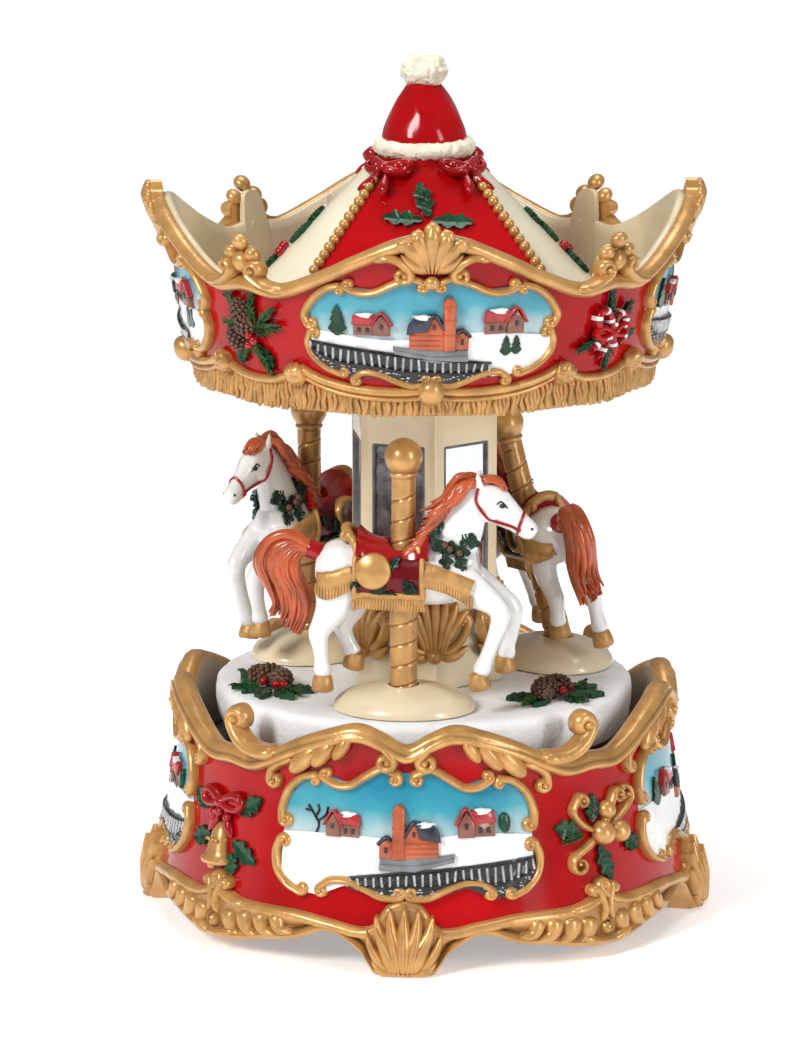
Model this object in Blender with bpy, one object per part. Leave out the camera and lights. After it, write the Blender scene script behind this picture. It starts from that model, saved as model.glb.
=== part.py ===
"""Wind-up carousel music box: a resin base with a spring movement, and a turntable with three horses.

Numbers are millimetres and degrees; add_object turns millimetres into Blender's metres.
Angles round the object are counted from the front (-Y) towards +X.
"""

import math

import bmesh
import bpy
from mathutils import Matrix, Vector

MM = 0.001
GAP = 0.3

# Overall
HEIGHT = 216.0
SIDE_NAMES = ("front", "right", "back", "left")
TURNTABLE_ANGLE = -3.8
CANOPY_ANGLE = 5.6
COLUMN_ANGLE = 12.0

# Base casting
BASE_TOP_RADIUS = 60.5
BASE_FLARE = 6.5
BASE_TOP_Z = 56.0
BASE_LOW_Z = 8.0
BASE_WALL = 3.2
WALL_FOOT_Z = 10.0
RIM_TOP = ((0, 55.8), (5, 58.4), (11, 60.6), (18, 58.8), (26, 55.6), (32, 52.4), (38, 50.0), (45, 50.4))
RIM_SECTION = ((58.2, -5.6), (63.0, -6.2), (64.2, -3.4), (62.8, -0.8), (60.6, 0.0), (58.7, -1.3))
TRIM_BOTTOM = ((0, 0), (6, 0), (9, 4.6), (16, 9.2), (24, 6.4), (31, 5.2), (38, 3.6), (45, 3.0))
TRIM_TOP = ((0, 18.4), (4, 16.6), (7, 11.6), (16, 12.6), (24, 13.8), (38, 14.0), (45, 16.0))
TRIM_RADIUS = ((0, 70.5), (6, 70.5), (9, 69.2), (30, 69.4), (40, 70.2), (45, 70.4))
COVER_Z = (12.0, 14.0)
COVER_RADIUS = 63.2
COVER_SCREW_RADIUS = 58.0
LEDGE_Z = (14.3, 18.5)
LEDGE_RADIUS = 53.0
DECK_Z = (37.0, 39.4)
DECK_RADIUS = 57.7
BUSH_RADIUS = 7.0

# Medallions: (angle, top z, bottom z) from the middle out, mirrored to the other half
BASE_MEDALLION = (
    (0, 48.6, 19.4),
    (6, 50.0, 18.6),
    (13, 45.6, 21.0),
    (20, 47.4, 18.0),
    (26, 44.0, 19.6),
    (29, 37.0, 25.0),
)
CANOPY_MEDALLION = (
    (0, 169.6, 145.2),
    (6, 170.2, 144.2),
    (13, 167.4, 145.6),
    (20, 168.2, 146.0),
    (26, 165.6, 149.0),
    (29.5, 160.0, 153.6),
)
PANEL_PROUD = 1.2
FRAME_PROUD = 2.8
FRAME_WIDTH = 2.4

# Platform and lift
PLATFORM_Z = (50.0, 58.6)
PLATFORM_RADIUS = 52.5
POLE_RING = 37.0
POLE_BEARINGS = (("front", 0.0, 0.0), ("right", 120.0, 14.0), ("left", 240.0, 0.0))
LEAN_DIRECTION = 184.2
DOME_HALF = (14.4, 17.5)
DOME_Z = (58.9, 65.1)
DOME_CENTRE = 36.0
POLE_HOLE = 3.8
POLE_RADIUS = 3.4
POLE_TOP_RADIUS = 3.0
POLE_FOOT_Z = 48.0
BALL_Z = 121.9
BALL_RADIUS = 4.7
TRACK_RADII = (33.5, 40.5)
TRACK_Z = 39.7
TRACK_MID = 42.6
TRACK_WAVE = 2.0

# Column
COLUMN_RADIUS = 19.6
COLUMN_TOP = 138.7
MIRROR_Z = (84.0, 119.9)
MIRROR_WIDTH = 13.0
RECESS_DEPTH = 1.6

# Canopy
CROWN_PROFILE = ((142.3, 57.2), (150.0, 59.3), (162.0, 61.3), (172.0, 62.9), (181.0, 65.4))
CROWN_TOP = ((0, 181.4), (7, 180.2), (16, 176.0), (25, 171.2), (36, 167.0), (45, 168.0))
CROWN_WALL = 2.6
CEILING_Z = (139.0, 141.5)
FRINGE = (52.6, 57.6, 135.5, 142.0)
ROOF_RIDGE = ((13.4, 190.2), (18.1, 186.7), (39.7, 168.5), (49.0, 159.5), (52.0, 152.0), (52.0, 144.2))
ROOF_FACE = 0.78
ROOF_WALL = 2.5
BAND = (13.3, 190.5, 195.4)
HAT_BOTTOM = (11.3, 195.7)
HAT_TOP = (4.6, 208.3)
POMPOM = (5.9, 4.35, 211.65)

# Movement
BEDPLATE = ((-20.0, 44.0), (-24.0, 17.0), (14.4, 16.0))
BARREL_RADIUS = 10.5
HUB_RADIUS = 4.0
WHEEL_TEETH = 36
PINION_TEETH = 6
WHEEL_RADIUS = 13.65
PINION_RADIUS = WHEEL_RADIUS * PINION_TEETH / WHEEL_TEETH
WHEEL_Z = (30.1, 31.6)
CYLINDER_AXIS_Z = 27.1
CYLINDER_RADIUS = 6.5
CYLINDER_X = (17.6, 34.6)
TRAIN_TEETH = 32
FAN_TEETH = 8
TRAIN_MODULE = 0.55
TRAIN_X = (35.6, 37.4)
FAN_AXIS_Y = TRAIN_MODULE * (TRAIN_TEETH + FAN_TEETH) / 2
ADDENDUM = 0.5
BRACKET_X = ((15.6, 16.8), (38.4, 39.6))
KEY_SHAFT = 1.8


def remove_everything():
    for obj in list(bpy.data.objects):
        bpy.data.objects.remove(obj, do_unlink=True)


def material(name, colour, roughness, metallic=0.0):
    found = bpy.data.materials.get(name)
    if found:
        return found
    made = bpy.data.materials.new(name)
    made.use_nodes = True
    shader = made.node_tree.nodes["Principled BSDF"]
    shader.inputs["Base Color"].default_value = (*colour, 1.0)
    shader.inputs["Roughness"].default_value = roughness
    shader.inputs["Metallic"].default_value = metallic
    return made


def red():
    return material("red_lacquer", (0.62, 0.02, 0.02), 0.18)


def gold():
    return material("gold_paint", (0.62, 0.38, 0.13), 0.38, 0.7)


def cream():
    return material("cream_gloss", (0.90, 0.80, 0.58), 0.35)


def white():
    return material("snow_white", (0.93, 0.93, 0.92), 0.5)


def brass():
    return material("brass", (0.72, 0.55, 0.22), 0.3, 1.0)


def steel():
    return material("steel", (0.55, 0.56, 0.58), 0.3, 1.0)


def board():
    return material("board", (0.16, 0.13, 0.11), 0.7)


def mirror():
    return material("mirror", (0.85, 0.87, 0.9), 0.05, 1.0)


def add_object(name, points, faces, finish, smooth_angle=35.0):
    """A mesh object from points in millimetres, with its faces turned outwards."""
    mesh = bpy.data.meshes.new(name)
    mesh.from_pydata([Vector(p) * MM for p in points], [], faces)
    shape = bmesh.new()
    shape.from_mesh(mesh)
    bmesh.ops.recalc_face_normals(shape, faces=shape.faces)
    shape.to_mesh(mesh)
    shape.free()
    mesh.shade_smooth()
    mesh.set_sharp_from_angle(angle=math.radians(smooth_angle))
    mesh.materials.append(finish)
    obj = bpy.data.objects.new(name, mesh)
    bpy.context.scene.collection.objects.link(obj)
    return obj


def cutter(name, points, faces):
    obj = add_object(name, points, faces, steel())
    obj.hide_render = True
    obj.display_type = "WIRE"
    return obj


def boolean(obj, other, operation="DIFFERENCE"):
    change = obj.modifiers.new(f"{operation.lower()}_{other.name}", "BOOLEAN")
    change.object = other
    change.operation = operation
    change.solver = "EXACT"


def at(radius, angle, z):
    turn = math.radians(angle)
    return (radius * math.sin(turn), -radius * math.cos(turn), z)


def along(points, angle, period=90.0):
    """Smooth value at an angle, from (angle, value) points that cover half a period and mirror in it."""
    folded = abs((angle + period / 2) % period - period / 2)
    for (a, low), (b, high) in zip(points, points[1:]):
        if folded <= b:
            share = (folded - a) / (b - a)
            return low + (high - low) * share * share * (3 - 2 * share)
    return points[-1][1]


def straight(points, x):
    """Value at x on the straight runs between (x, value) points."""
    for (a, low), (b, high) in zip(points, points[1:]):
        if x <= b:
            return low + (high - low) * (x - a) / (b - a)
    return points[-1][1]


def base_radius(z):
    share = max(0.0, (BASE_TOP_Z - z) / (BASE_TOP_Z - BASE_LOW_Z))
    return BASE_TOP_RADIUS + BASE_FLARE * share**1.3


def crown_radius(z):
    return straight(CROWN_PROFILE, z)


def ring_mesh(section, count, start=0.0):
    """Points and faces of a closed ring; section(angle) gives its (radius, z) corners."""
    points = []
    sides = len(section(0.0))
    for step in range(count):
        angle = start + 360.0 * step / count
        points += [at(radius, angle, z) for radius, z in section(angle)]
    faces = []
    for step in range(count):
        following = (step + 1) % count
        for side in range(sides):
            beside = (side + 1) % sides
            here, there = step * sides, following * sides
            faces.append((here + side, there + side, there + beside, here + beside))
    return points, faces


def ring(name, section, count, finish):
    return add_object(name, *ring_mesh(section, count), finish)


def turned_mesh(profile, count):
    """Points and faces of a solid of revolution; the profile runs between two points on the axis."""
    points = [(0.0, 0.0, profile[0][1])]
    inner = profile[1:-1]
    for radius, z in inner:
        points += [
            (radius * math.cos(math.tau * k / count), radius * math.sin(math.tau * k / count), z)
            for k in range(count)
        ]
    points.append((0.0, 0.0, profile[-1][1]))
    last = len(points) - 1
    faces = [(0, 1 + k, 1 + (k + 1) % count) for k in range(count)]
    for row in range(len(inner) - 1):
        low = 1 + row * count
        for k in range(count):
            beside = (k + 1) % count
            faces.append((low + k, low + beside, low + count + beside, low + count + k))
    low = 1 + (len(inner) - 1) * count
    faces += [(low + k, last, low + (k + 1) % count) for k in range(count)]
    return points, faces


def turned(name, profile, count, finish):
    return add_object(name, *turned_mesh(profile, count), finish)


def moved(points, matrix):
    return [tuple(matrix @ Vector(p)) for p in points]


def cylinder_mesh(radius, low, high, count=16):
    return turned_mesh(((0, low), (radius, low), (radius, high), (0, high)), count)


def box_mesh(x, y, z):
    points = [(a, b, c) for a in x for b in y for c in z]
    faces = [(0, 1, 3, 2), (4, 6, 7, 5), (0, 4, 5, 1), (2, 3, 7, 6), (0, 2, 6, 4), (1, 5, 7, 3)]
    return points, faces


def prism_mesh(outline, low, high):
    """An outline of (x, y) points extruded from low to high."""
    count = len(outline)
    points = [(x, y, low) for x, y in outline] + [(x, y, high) for x, y in outline]
    faces = [tuple(range(count)), tuple(range(count, 2 * count))]
    faces += [(k, (k + 1) % count, count + (k + 1) % count, count + k) for k in range(count)]
    return points, faces


def gear_outline(teeth, radius, tip_width, root_width, first=0.0):
    """Outline of a gear with straight-sided teeth, the first one at the angle first, in radians."""
    outline = []
    for tooth in range(teeth):
        middle = first + math.tau * tooth / teeth
        for reach, width in ((-1, root_width), (1, tip_width)):
            level = radius + (ADDENDUM if reach > 0 else -ADDENDUM - 0.15)
            half = width / 2 / level
            pair = (middle - half, middle + half)
            outline.append([(level * math.cos(a), level * math.sin(a)) for a in pair])
    flat = []
    for root, tip in zip(outline[::2], outline[1::2]):
        flat += [root[0], tip[0], tip[1], root[1]]
    return flat


# ---------------------------------------------------------------- base


def rim_top(angle):
    return along(RIM_TOP, angle)


def base_shell():
    def section(angle):
        top = rim_top(angle) - 6.6
        outer = [(base_radius(z), z) for z in (top, 41.0, 28.0, 17.0, WALL_FOOT_Z)]
        inner = [
            (COVER_RADIUS + GAP, WALL_FOOT_Z),
            (COVER_RADIUS + GAP, LEDGE_Z[0]),
            (LEDGE_RADIUS, LEDGE_Z[0]),
            (LEDGE_RADIUS, LEDGE_Z[1]),
            (base_radius(18.5) - BASE_WALL, LEDGE_Z[1]),
            (base_radius(33.5) - BASE_WALL, 33.5),
            (54.5, 33.5),
            (54.5, DECK_Z[0] - GAP),
            (DECK_RADIUS + 2 * GAP, DECK_Z[0] - GAP),
            (BASE_TOP_RADIUS - 2.7, top),
        ]
        return outer + inner

    shell = ring("base_shell", section, 48, red())
    for number in range(4):
        centre = Vector(at(COVER_SCREW_RADIUS, 45 + 90 * number, 0))
        hole = moved(cylinder_mesh(1.6, 13.0, 20.0, 8)[0], Matrix.Translation(centre))
        boolean(shell, cutter(f"ledge_hole_{number}", hole, cylinder_mesh(1.6, 13.0, 20.0, 8)[1]))
    return shell


def base_rim():
    return ring("base_rim", lambda angle: [(r, rim_top(angle) + z) for r, z in RIM_SECTION], 48, gold())


def foot_trim():
    def section(angle):
        low = along(TRIM_BOTTOM, angle)
        high = along(TRIM_TOP, angle)
        outer = along(TRIM_RADIUS, angle)
        back = base_radius(WALL_FOOT_Z) + GAP
        shoulder = (outer, low + 0.6 * (high - low))
        return [(back, low), (outer, low), shoulder, (base_radius(high) + 1.4, high), (back - 0.2, high - 1.6)]

    return ring("foot_trim", section, 60, gold())


def medallion(name, outline, surface, turn):
    """A curved plaque on a wall: a flat field inside a raised frame."""
    tops = [(a, top) for a, top, _ in outline]
    bottoms = [(a, bottom) for a, _, bottom in outline]
    end = outline[-1][0]
    columns = [-end, -end + 2.4, -20, -13, -6, 0, 6, 13, 20, end - 2.4, end]
    size = 4
    points = []
    for back in (True, False):
        for column, angle in enumerate(columns):
            top = straight(tops, abs(angle))
            bottom = straight(bottoms, abs(angle))
            for row, z in enumerate((bottom, bottom + FRAME_WIDTH, top - FRAME_WIDTH, top)):
                edge = column in (0, len(columns) - 1) or row in (0, size - 1)
                proud = 2 * GAP if back else (FRAME_PROUD if edge else PANEL_PROUD)
                points.append(at(surface(z) + proud, angle + turn, z))
    half = len(columns) * size
    faces = []
    for layer in (0, half):
        for column in range(len(columns) - 1):
            for row in range(size - 1):
                a = layer + column * size + row
                faces.append((a, a + 1, a + size + 1, a + size))
    for column in range(len(columns) - 1):
        for row in (0, size - 1):
            a = column * size + row
            faces.append((a, a + size, a + size + half, a + half))
    for column in (0, len(columns) - 1):
        for row in range(size - 1):
            a = column * size + row
            faces.append((a, a + 1, a + 1 + half, a + half))
    return add_object(name, points, faces, gold())


def base_deck():
    profile = (
        (BUSH_RADIUS + GAP, DECK_Z[0]),
        (DECK_RADIUS, DECK_Z[0]),
        (DECK_RADIUS, DECK_Z[1]),
        (BUSH_RADIUS + GAP, DECK_Z[1]),
    )
    return ring("base_deck", lambda angle: profile, 28, board())


def hub_bush():
    inner = HUB_RADIUS + GAP
    low = DECK_Z[0] - 2.0
    flange = DECK_Z[1] + GAP
    profile = ((inner, low), (BUSH_RADIUS, low), (BUSH_RADIUS, flange), (9.5, flange), (9.5, 41.0), (inner, 41.0))
    return ring("hub_bush", lambda angle: profile, 20, brass())


def lift_track():
    def section(angle):
        top = TRACK_MID + TRACK_WAVE * math.sin(math.radians(3 * angle))
        inner, outer = TRACK_RADII
        return [(inner, TRACK_Z), (outer, TRACK_Z), (outer, top), (inner, top)]

    return ring("lift_track", section, 36, steel())


def bottom_cover():
    profile = ((4.0, COVER_Z[0]), (COVER_RADIUS, COVER_Z[0]), (COVER_RADIUS, COVER_Z[1]), (4.0, COVER_Z[1]))
    cover = ring("bottom_cover", lambda angle: profile, 28, board())
    for number in range(4):
        centre = Vector(at(COVER_SCREW_RADIUS, 45 + 90 * number, 0))
        points, faces = cylinder_mesh(1.7, 11.0, 15.0, 8)
        boolean(cover, cutter(f"cover_hole_{number}", moved(points, Matrix.Translation(centre)), faces))


def cover_screws():
    for number in range(4):
        profile = ((0, 10.0), (2.8, 10.4), (2.8, 11.6), (1.3, 11.7), (1.3, 18.0), (0, 18.4))
        points, faces = turned_mesh(profile, 10)
        centre = Vector(at(COVER_SCREW_RADIUS, 45 + 90 * number, 0))
        add_object(f"cover_screw_{number + 1}", moved(points, Matrix.Translation(centre)), faces, steel())


# ---------------------------------------------------------------- movement


def bedplate():
    plate = add_object("movement_bedplate", *box_mesh(*BEDPLATE), brass())
    boolean(plate, cutter("bedplate_hole", *cylinder_mesh(4.0, 13.0, 18.0, 12)))


def winding_arbor():
    turned("winding_arbor", ((0, 8.5), (KEY_SHAFT, 8.5), (KEY_SHAFT, 27.6), (0, 27.6)), 12, steel())


def winding_key():
    """Threaded sleeve with two flat wings, screwed on the arbor from below."""
    sleeve = turned(
        "winding_key", ((0, 7.6), (2.1, 7.6), (2.1, 11.6), (3.2, 11.6), (3.2, 5.5), (0, 5.5)), 12, brass()
    )
    wings = [(-2.0, 6.8), (-6.0, 7.6), (-9.6, 6.6), (-11.0, 4.4), (-9.6, 2.2), (-6.0, 1.4), (-2.0, 2.2)]
    outline = wings + [(-x, z) for x, z in reversed(wings)]
    points, faces = prism_mesh(outline, -0.8, 0.8)
    upright = [(x, depth, z) for x, z, depth in points]
    boolean(sleeve, cutter("key_wings", upright, faces), "UNION")


def spring_barrel():
    profile = (
        (0, 49.7),
        (HUB_RADIUS, 49.7),
        (HUB_RADIUS, 29.8),
        (BARREL_RADIUS, 29.8),
        (BARREL_RADIUS, 17.0),
        (BARREL_RADIUS - 0.9, 17.0),
        (BARREL_RADIUS - 0.9, 28.4),
        (0, 28.4),
    )
    return turned("spring_barrel", profile, 24, brass())


def mainspring():
    """A flat spiral strip between the arbor and the barrel's wall."""
    turns, steps = 3.5, 9
    count = int(turns * steps)
    points = []
    for step in range(count + 1):
        angle = math.tau * step / steps
        radius = 3.0 + (BARREL_RADIUS - 5.0) * step / count
        for reach, z in ((0.0, 18.0), (0.4, 18.0), (0.4, 27.6), (0.0, 27.6)):
            points.append(((radius + reach) * math.cos(angle), (radius + reach) * math.sin(angle), z))
    faces = [(0, 1, 2, 3), tuple(4 * count + k for k in (3, 2, 1, 0))]
    for step in range(count):
        for side in range(4):
            beside = (side + 1) % 4
            faces.append((4 * step + side, 4 * step + beside, 4 * step + 4 + beside, 4 * step + 4 + side))
    return add_object("mainspring", points, faces, steel())


def drive_wheel():
    """A face gear on the barrel's hub: every second step of its outer ring carries a tooth that points down."""
    steps = 2 * WHEEL_TEETH
    half_face = 1.3
    rings = (
        (HUB_RADIUS + GAP, WHEEL_Z[1]),
        (HUB_RADIUS + GAP, WHEEL_Z[0]),
        (WHEEL_RADIUS - half_face, WHEEL_Z[0]),
        (WHEEL_RADIUS + half_face, WHEEL_Z[0]),
        (WHEEL_RADIUS + half_face + 0.3, WHEEL_Z[1]),
    )
    half_step = 180.0 / steps
    points, faces = ring_mesh(lambda angle: rings, steps, 90.0 - half_step)
    obj = add_object("drive_wheel", points, faces, brass())
    shape = bmesh.new()
    shape.from_mesh(obj.data)
    shape.faces.ensure_lookup_table()
    teeth = [shape.faces[step * len(rings) + 2] for step in range(1, steps, 2)]
    tip = CYLINDER_AXIS_Z + PINION_RADIUS - ADDENDUM
    made = bmesh.ops.extrude_discrete_faces(shape, faces=teeth)
    lowered = {corner for face in made["faces"] for corner in face.verts}
    bmesh.ops.translate(shape, verts=list(lowered), vec=(0, 0, (tip - WHEEL_Z[0]) * MM))
    bmesh.ops.recalc_face_normals(shape, faces=shape.faces)
    shape.to_mesh(obj.data)
    shape.free()


LIE_ALONG_X = Matrix.Rotation(math.pi / 2, 4, "Y")


def lying(mesh, y=0.0):
    """A shape made along Z laid along +X at the cylinder's height; its X axis then points down."""
    points, faces = mesh
    return moved(points, Matrix.Translation((0, y, CYLINDER_AXIS_Z)) @ LIE_ALONG_X), faces


def cylinder_arbor():
    leaves = gear_outline(PINION_TEETH, PINION_RADIUS, 0.5, 0.85, math.pi)
    pinion = add_object("cylinder_arbor", *lying(prism_mesh(leaves, 12.6, 14.6)), steel())
    boolean(pinion, cutter("arbor_shaft", *lying(cylinder_mesh(1.0, 12.3, 40.4, 10))), "UNION")


def tube_mesh(inner, outer, low, high, count):
    section = [(inner, low), (outer, low), (outer, high), (inner, high)]
    return ring_mesh(lambda angle: section, count)


def pin_cylinder():
    body = add_object("pin_cylinder", *lying(tube_mesh(1.3, CYLINDER_RADIUS, *CYLINDER_X, 20)), brass())
    points, faces = [], []
    for number in range(22):
        angle = number * 2.4
        place = CYLINDER_X[0] + 1.2 + (number * 7 % 22) * 0.7
        pin, sides = box_mesh((5.9, CYLINDER_RADIUS + 0.8), (-0.25, 0.25), (place - 0.2, place + 0.2))
        start = len(points)
        points += moved(pin, Matrix.Rotation(angle, 4, "Z"))
        faces += [tuple(start + corner for corner in face) for face in sides]
    boolean(body, cutter("cylinder_pins", *lying((points, faces))), "UNION")


def train_wheel():
    outline = gear_outline(TRAIN_TEETH, TRAIN_TEETH * TRAIN_MODULE / 2, 0.42, 0.85, math.pi / 2)
    wheel = add_object("cylinder_wheel", *lying(prism_mesh(outline, *TRAIN_X)), brass())
    boolean(wheel, cutter("train_wheel_bore", *lying(cylinder_mesh(1.3, 34.0, 39.0, 10))))


def governor():
    first = -math.pi / 2 + math.pi / FAN_TEETH
    outline = gear_outline(FAN_TEETH, FAN_TEETH * TRAIN_MODULE / 2, 0.42, 0.8, first)
    fan = add_object("governor_fan", *lying(prism_mesh(outline, *TRAIN_X), FAN_AXIS_Y), brass())
    shaft = cutter("fan_shaft", *lying(cylinder_mesh(0.8, 15.3, 40.4, 8), FAN_AXIS_Y))
    blades = cutter("fan_blades", *lying(box_mesh((-2.9, 2.9), (-0.3, 0.3), (24.0, 33.0)), FAN_AXIS_Y))
    boolean(fan, shaft, "UNION")
    boolean(fan, blades, "UNION")


def brackets():
    for name, x in zip(("inner", "outer"), BRACKET_X):
        plate = add_object(f"bracket_{name}", *box_mesh(x, (-5.0, 15.0), (16.3, 29.4)), brass())
        for number, (y, radius) in enumerate(((0.0, 1.3), (FAN_AXIS_Y, 1.1))):
            hole = lying(cylinder_mesh(radius, x[0] - 1, x[1] + 1, 10), y)
            boolean(plate, cutter(f"bracket_{name}_hole_{number}", *hole))


def music_comb():
    """Eighteen tuned teeth in one steel plate on its block, their tips just short of the pins."""
    left, right = CYLINDER_X
    teeth, slot = 18, 0.35
    pitch = (right - left) / teeth
    tip = -(CYLINDER_RADIUS + 0.8 + 0.5)
    outline = [(left, -23.0), (right, -23.0)]
    for number in reversed(range(teeth)):
        low = left + number * pitch
        high = low + pitch
        outline += [(high - slot / 2, tip), (low + slot / 2, tip)]
        if number:
            outline += [(low + slot / 2, -15.5), (low - slot / 2, -15.5)]
    comb = add_object("music_comb", *prism_mesh(outline, 26.7, 27.5), steel())
    block = cutter("comb_block", *box_mesh((left, right), (-22.9, -17.0), (16.3, 26.9)))
    boolean(comb, block, "UNION")
    for number, x in enumerate((left + 3.0, right - 3.0)):
        points, faces = cylinder_mesh(1.2, 20.0, 29.0, 8)
        place = Matrix.Translation((x, -20.0, 0))
        boolean(comb, cutter(f"comb_hole_{number}", moved(points, place), faces))
        profile = ((0, 20.5), (0.9, 20.5), (0.9, 27.8), (1.9, 27.8), (1.9, 28.9), (0, 28.9))
        screw, sides = turned_mesh(profile, 10)
        add_object(f"comb_screw_{number + 1}", moved(screw, place), sides, steel())


# ---------------------------------------------------------------- turntable


def pole_frames():
    """For each horse: its name and the matrix from pole space (pole up Z from the dome's top) to the world."""
    frames = []
    for name, turn, lean in POLE_BEARINGS:
        angle = TURNTABLE_ANGLE + turn
        foot = Vector(at(POLE_RING, angle, DOME_Z[1]))
        towards = Vector((math.cos(math.radians(LEAN_DIRECTION)), math.sin(math.radians(LEAN_DIRECTION)), 0))
        tilt = Matrix.Rotation(math.radians(lean), 4, Vector((0, 0, 1)).cross(towards))
        heading = Matrix.Rotation(math.radians(angle), 4, "Z")
        drop = Matrix.Translation((0, 0, -DOME_Z[1]))
        frames.append((name, Matrix.Translation(foot) @ tilt @ heading @ drop))
    return frames


def platform():
    low, high = PLATFORM_Z
    profile = (
        (0, low),
        (46.0, low),
        (51.0, low + 2.2),
        (PLATFORM_RADIUS, low + 5.0),
        (52.1, high - 1.2),
        (50.8, high),
        (0, high),
    )
    disc = turned("platform", profile, 36, white())
    for name, place in pole_frames():
        points, faces = cylinder_mesh(POLE_HOLE, 44.0, 72.0, 10)
        boolean(disc, cutter(f"platform_hole_{name}", moved(points, place), faces))


def pole_domes():
    low, high = DOME_Z
    for (name, turn, _), (_, place) in zip(POLE_BEARINGS, pole_frames()):
        profile = [(0, low)]
        for rise in (0, 22, 45, 68):
            share = math.radians(rise)
            profile.append((DOME_HALF[1] * math.cos(share), low + 0.5 + (high - low - 0.5) * math.sin(share)))
        profile.insert(1, (DOME_HALF[1], low))
        profile.append((0, high))
        points, faces = turned_mesh(profile, 16)
        narrow = DOME_HALF[0] / DOME_HALF[1]
        angle = TURNTABLE_ANGLE + turn
        to_place = Matrix.Translation(at(DOME_CENTRE, angle, 0)) @ Matrix.Rotation(math.radians(angle), 4, "Z")
        squeezed = [(x, y * narrow, z) for x, y, z in points]
        dome = add_object(f"pole_dome_{name}", moved(squeezed, to_place), faces, cream())
        hole, sides = cylinder_mesh(POLE_HOLE, 44.0, 72.0, 10)
        boolean(dome, cutter(f"dome_hole_{name}", moved(hole, place), sides))


def column():
    rings = ((21.0, 58.9), (20.8, 62.0), (20.0, 66.0), (COLUMN_RADIUS, 69.0), (COLUMN_RADIUS, COLUMN_TOP))
    profile = [(0, rings[0][1]), *rings, (0, COLUMN_TOP)]
    points, faces = turned_mesh(profile, 6)
    spin = Matrix.Rotation(math.radians(COLUMN_ANGLE - 90), 4, "Z")
    post = add_object("column", moved(points, spin), faces, cream())
    flat = COLUMN_RADIUS * math.cos(math.pi / 6)
    half = MIRROR_WIDTH / 2
    for side in range(6):
        turn = Matrix.Rotation(math.radians(COLUMN_ANGLE - 60 + 60 * side), 4, "Z")
        recess, sides = box_mesh(
            (flat - RECESS_DEPTH, flat + 2),
            (-half - GAP, half + GAP),
            (MIRROR_Z[0] - GAP, MIRROR_Z[1] + GAP),
        )
        boolean(post, cutter(f"mirror_recess_{side}", moved(recess, turn), sides))
        depth = flat - RECESS_DEPTH + GAP
        pane, sides = box_mesh((depth, depth + 0.6), (-half, half), MIRROR_Z)
        add_object(f"mirror_{side + 1}", moved(pane, turn), sides, mirror())


def limb_mesh(stations, sides=8):
    """A closed tube through (x, y, z, radius, thickness) stations."""
    points = []
    centres = [Vector(station[:3]) for station in stations]
    for number, (x, y, z, radius, thick) in enumerate(stations):
        before = centres[max(0, number - 1)]
        after = centres[min(len(centres) - 1, number + 1)]
        run = (after - before).normalized()
        across = Vector((0, 1, 0))
        up = run.cross(across).normalized()
        for k in range(sides):
            angle = math.tau * k / sides
            offset = up * radius * math.sin(angle) + across * thick * math.cos(angle)
            points.append(tuple(Vector((x, y, z)) + offset))
    faces = [tuple(range(sides)), tuple(range(len(points) - sides, len(points)))]
    for number in range(len(stations) - 1):
        for k in range(sides):
            beside = (k + 1) % sides
            low = number * sides
            faces.append((low + k, low + beside, low + sides + beside, low + sides + k))
    return points, faces


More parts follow.
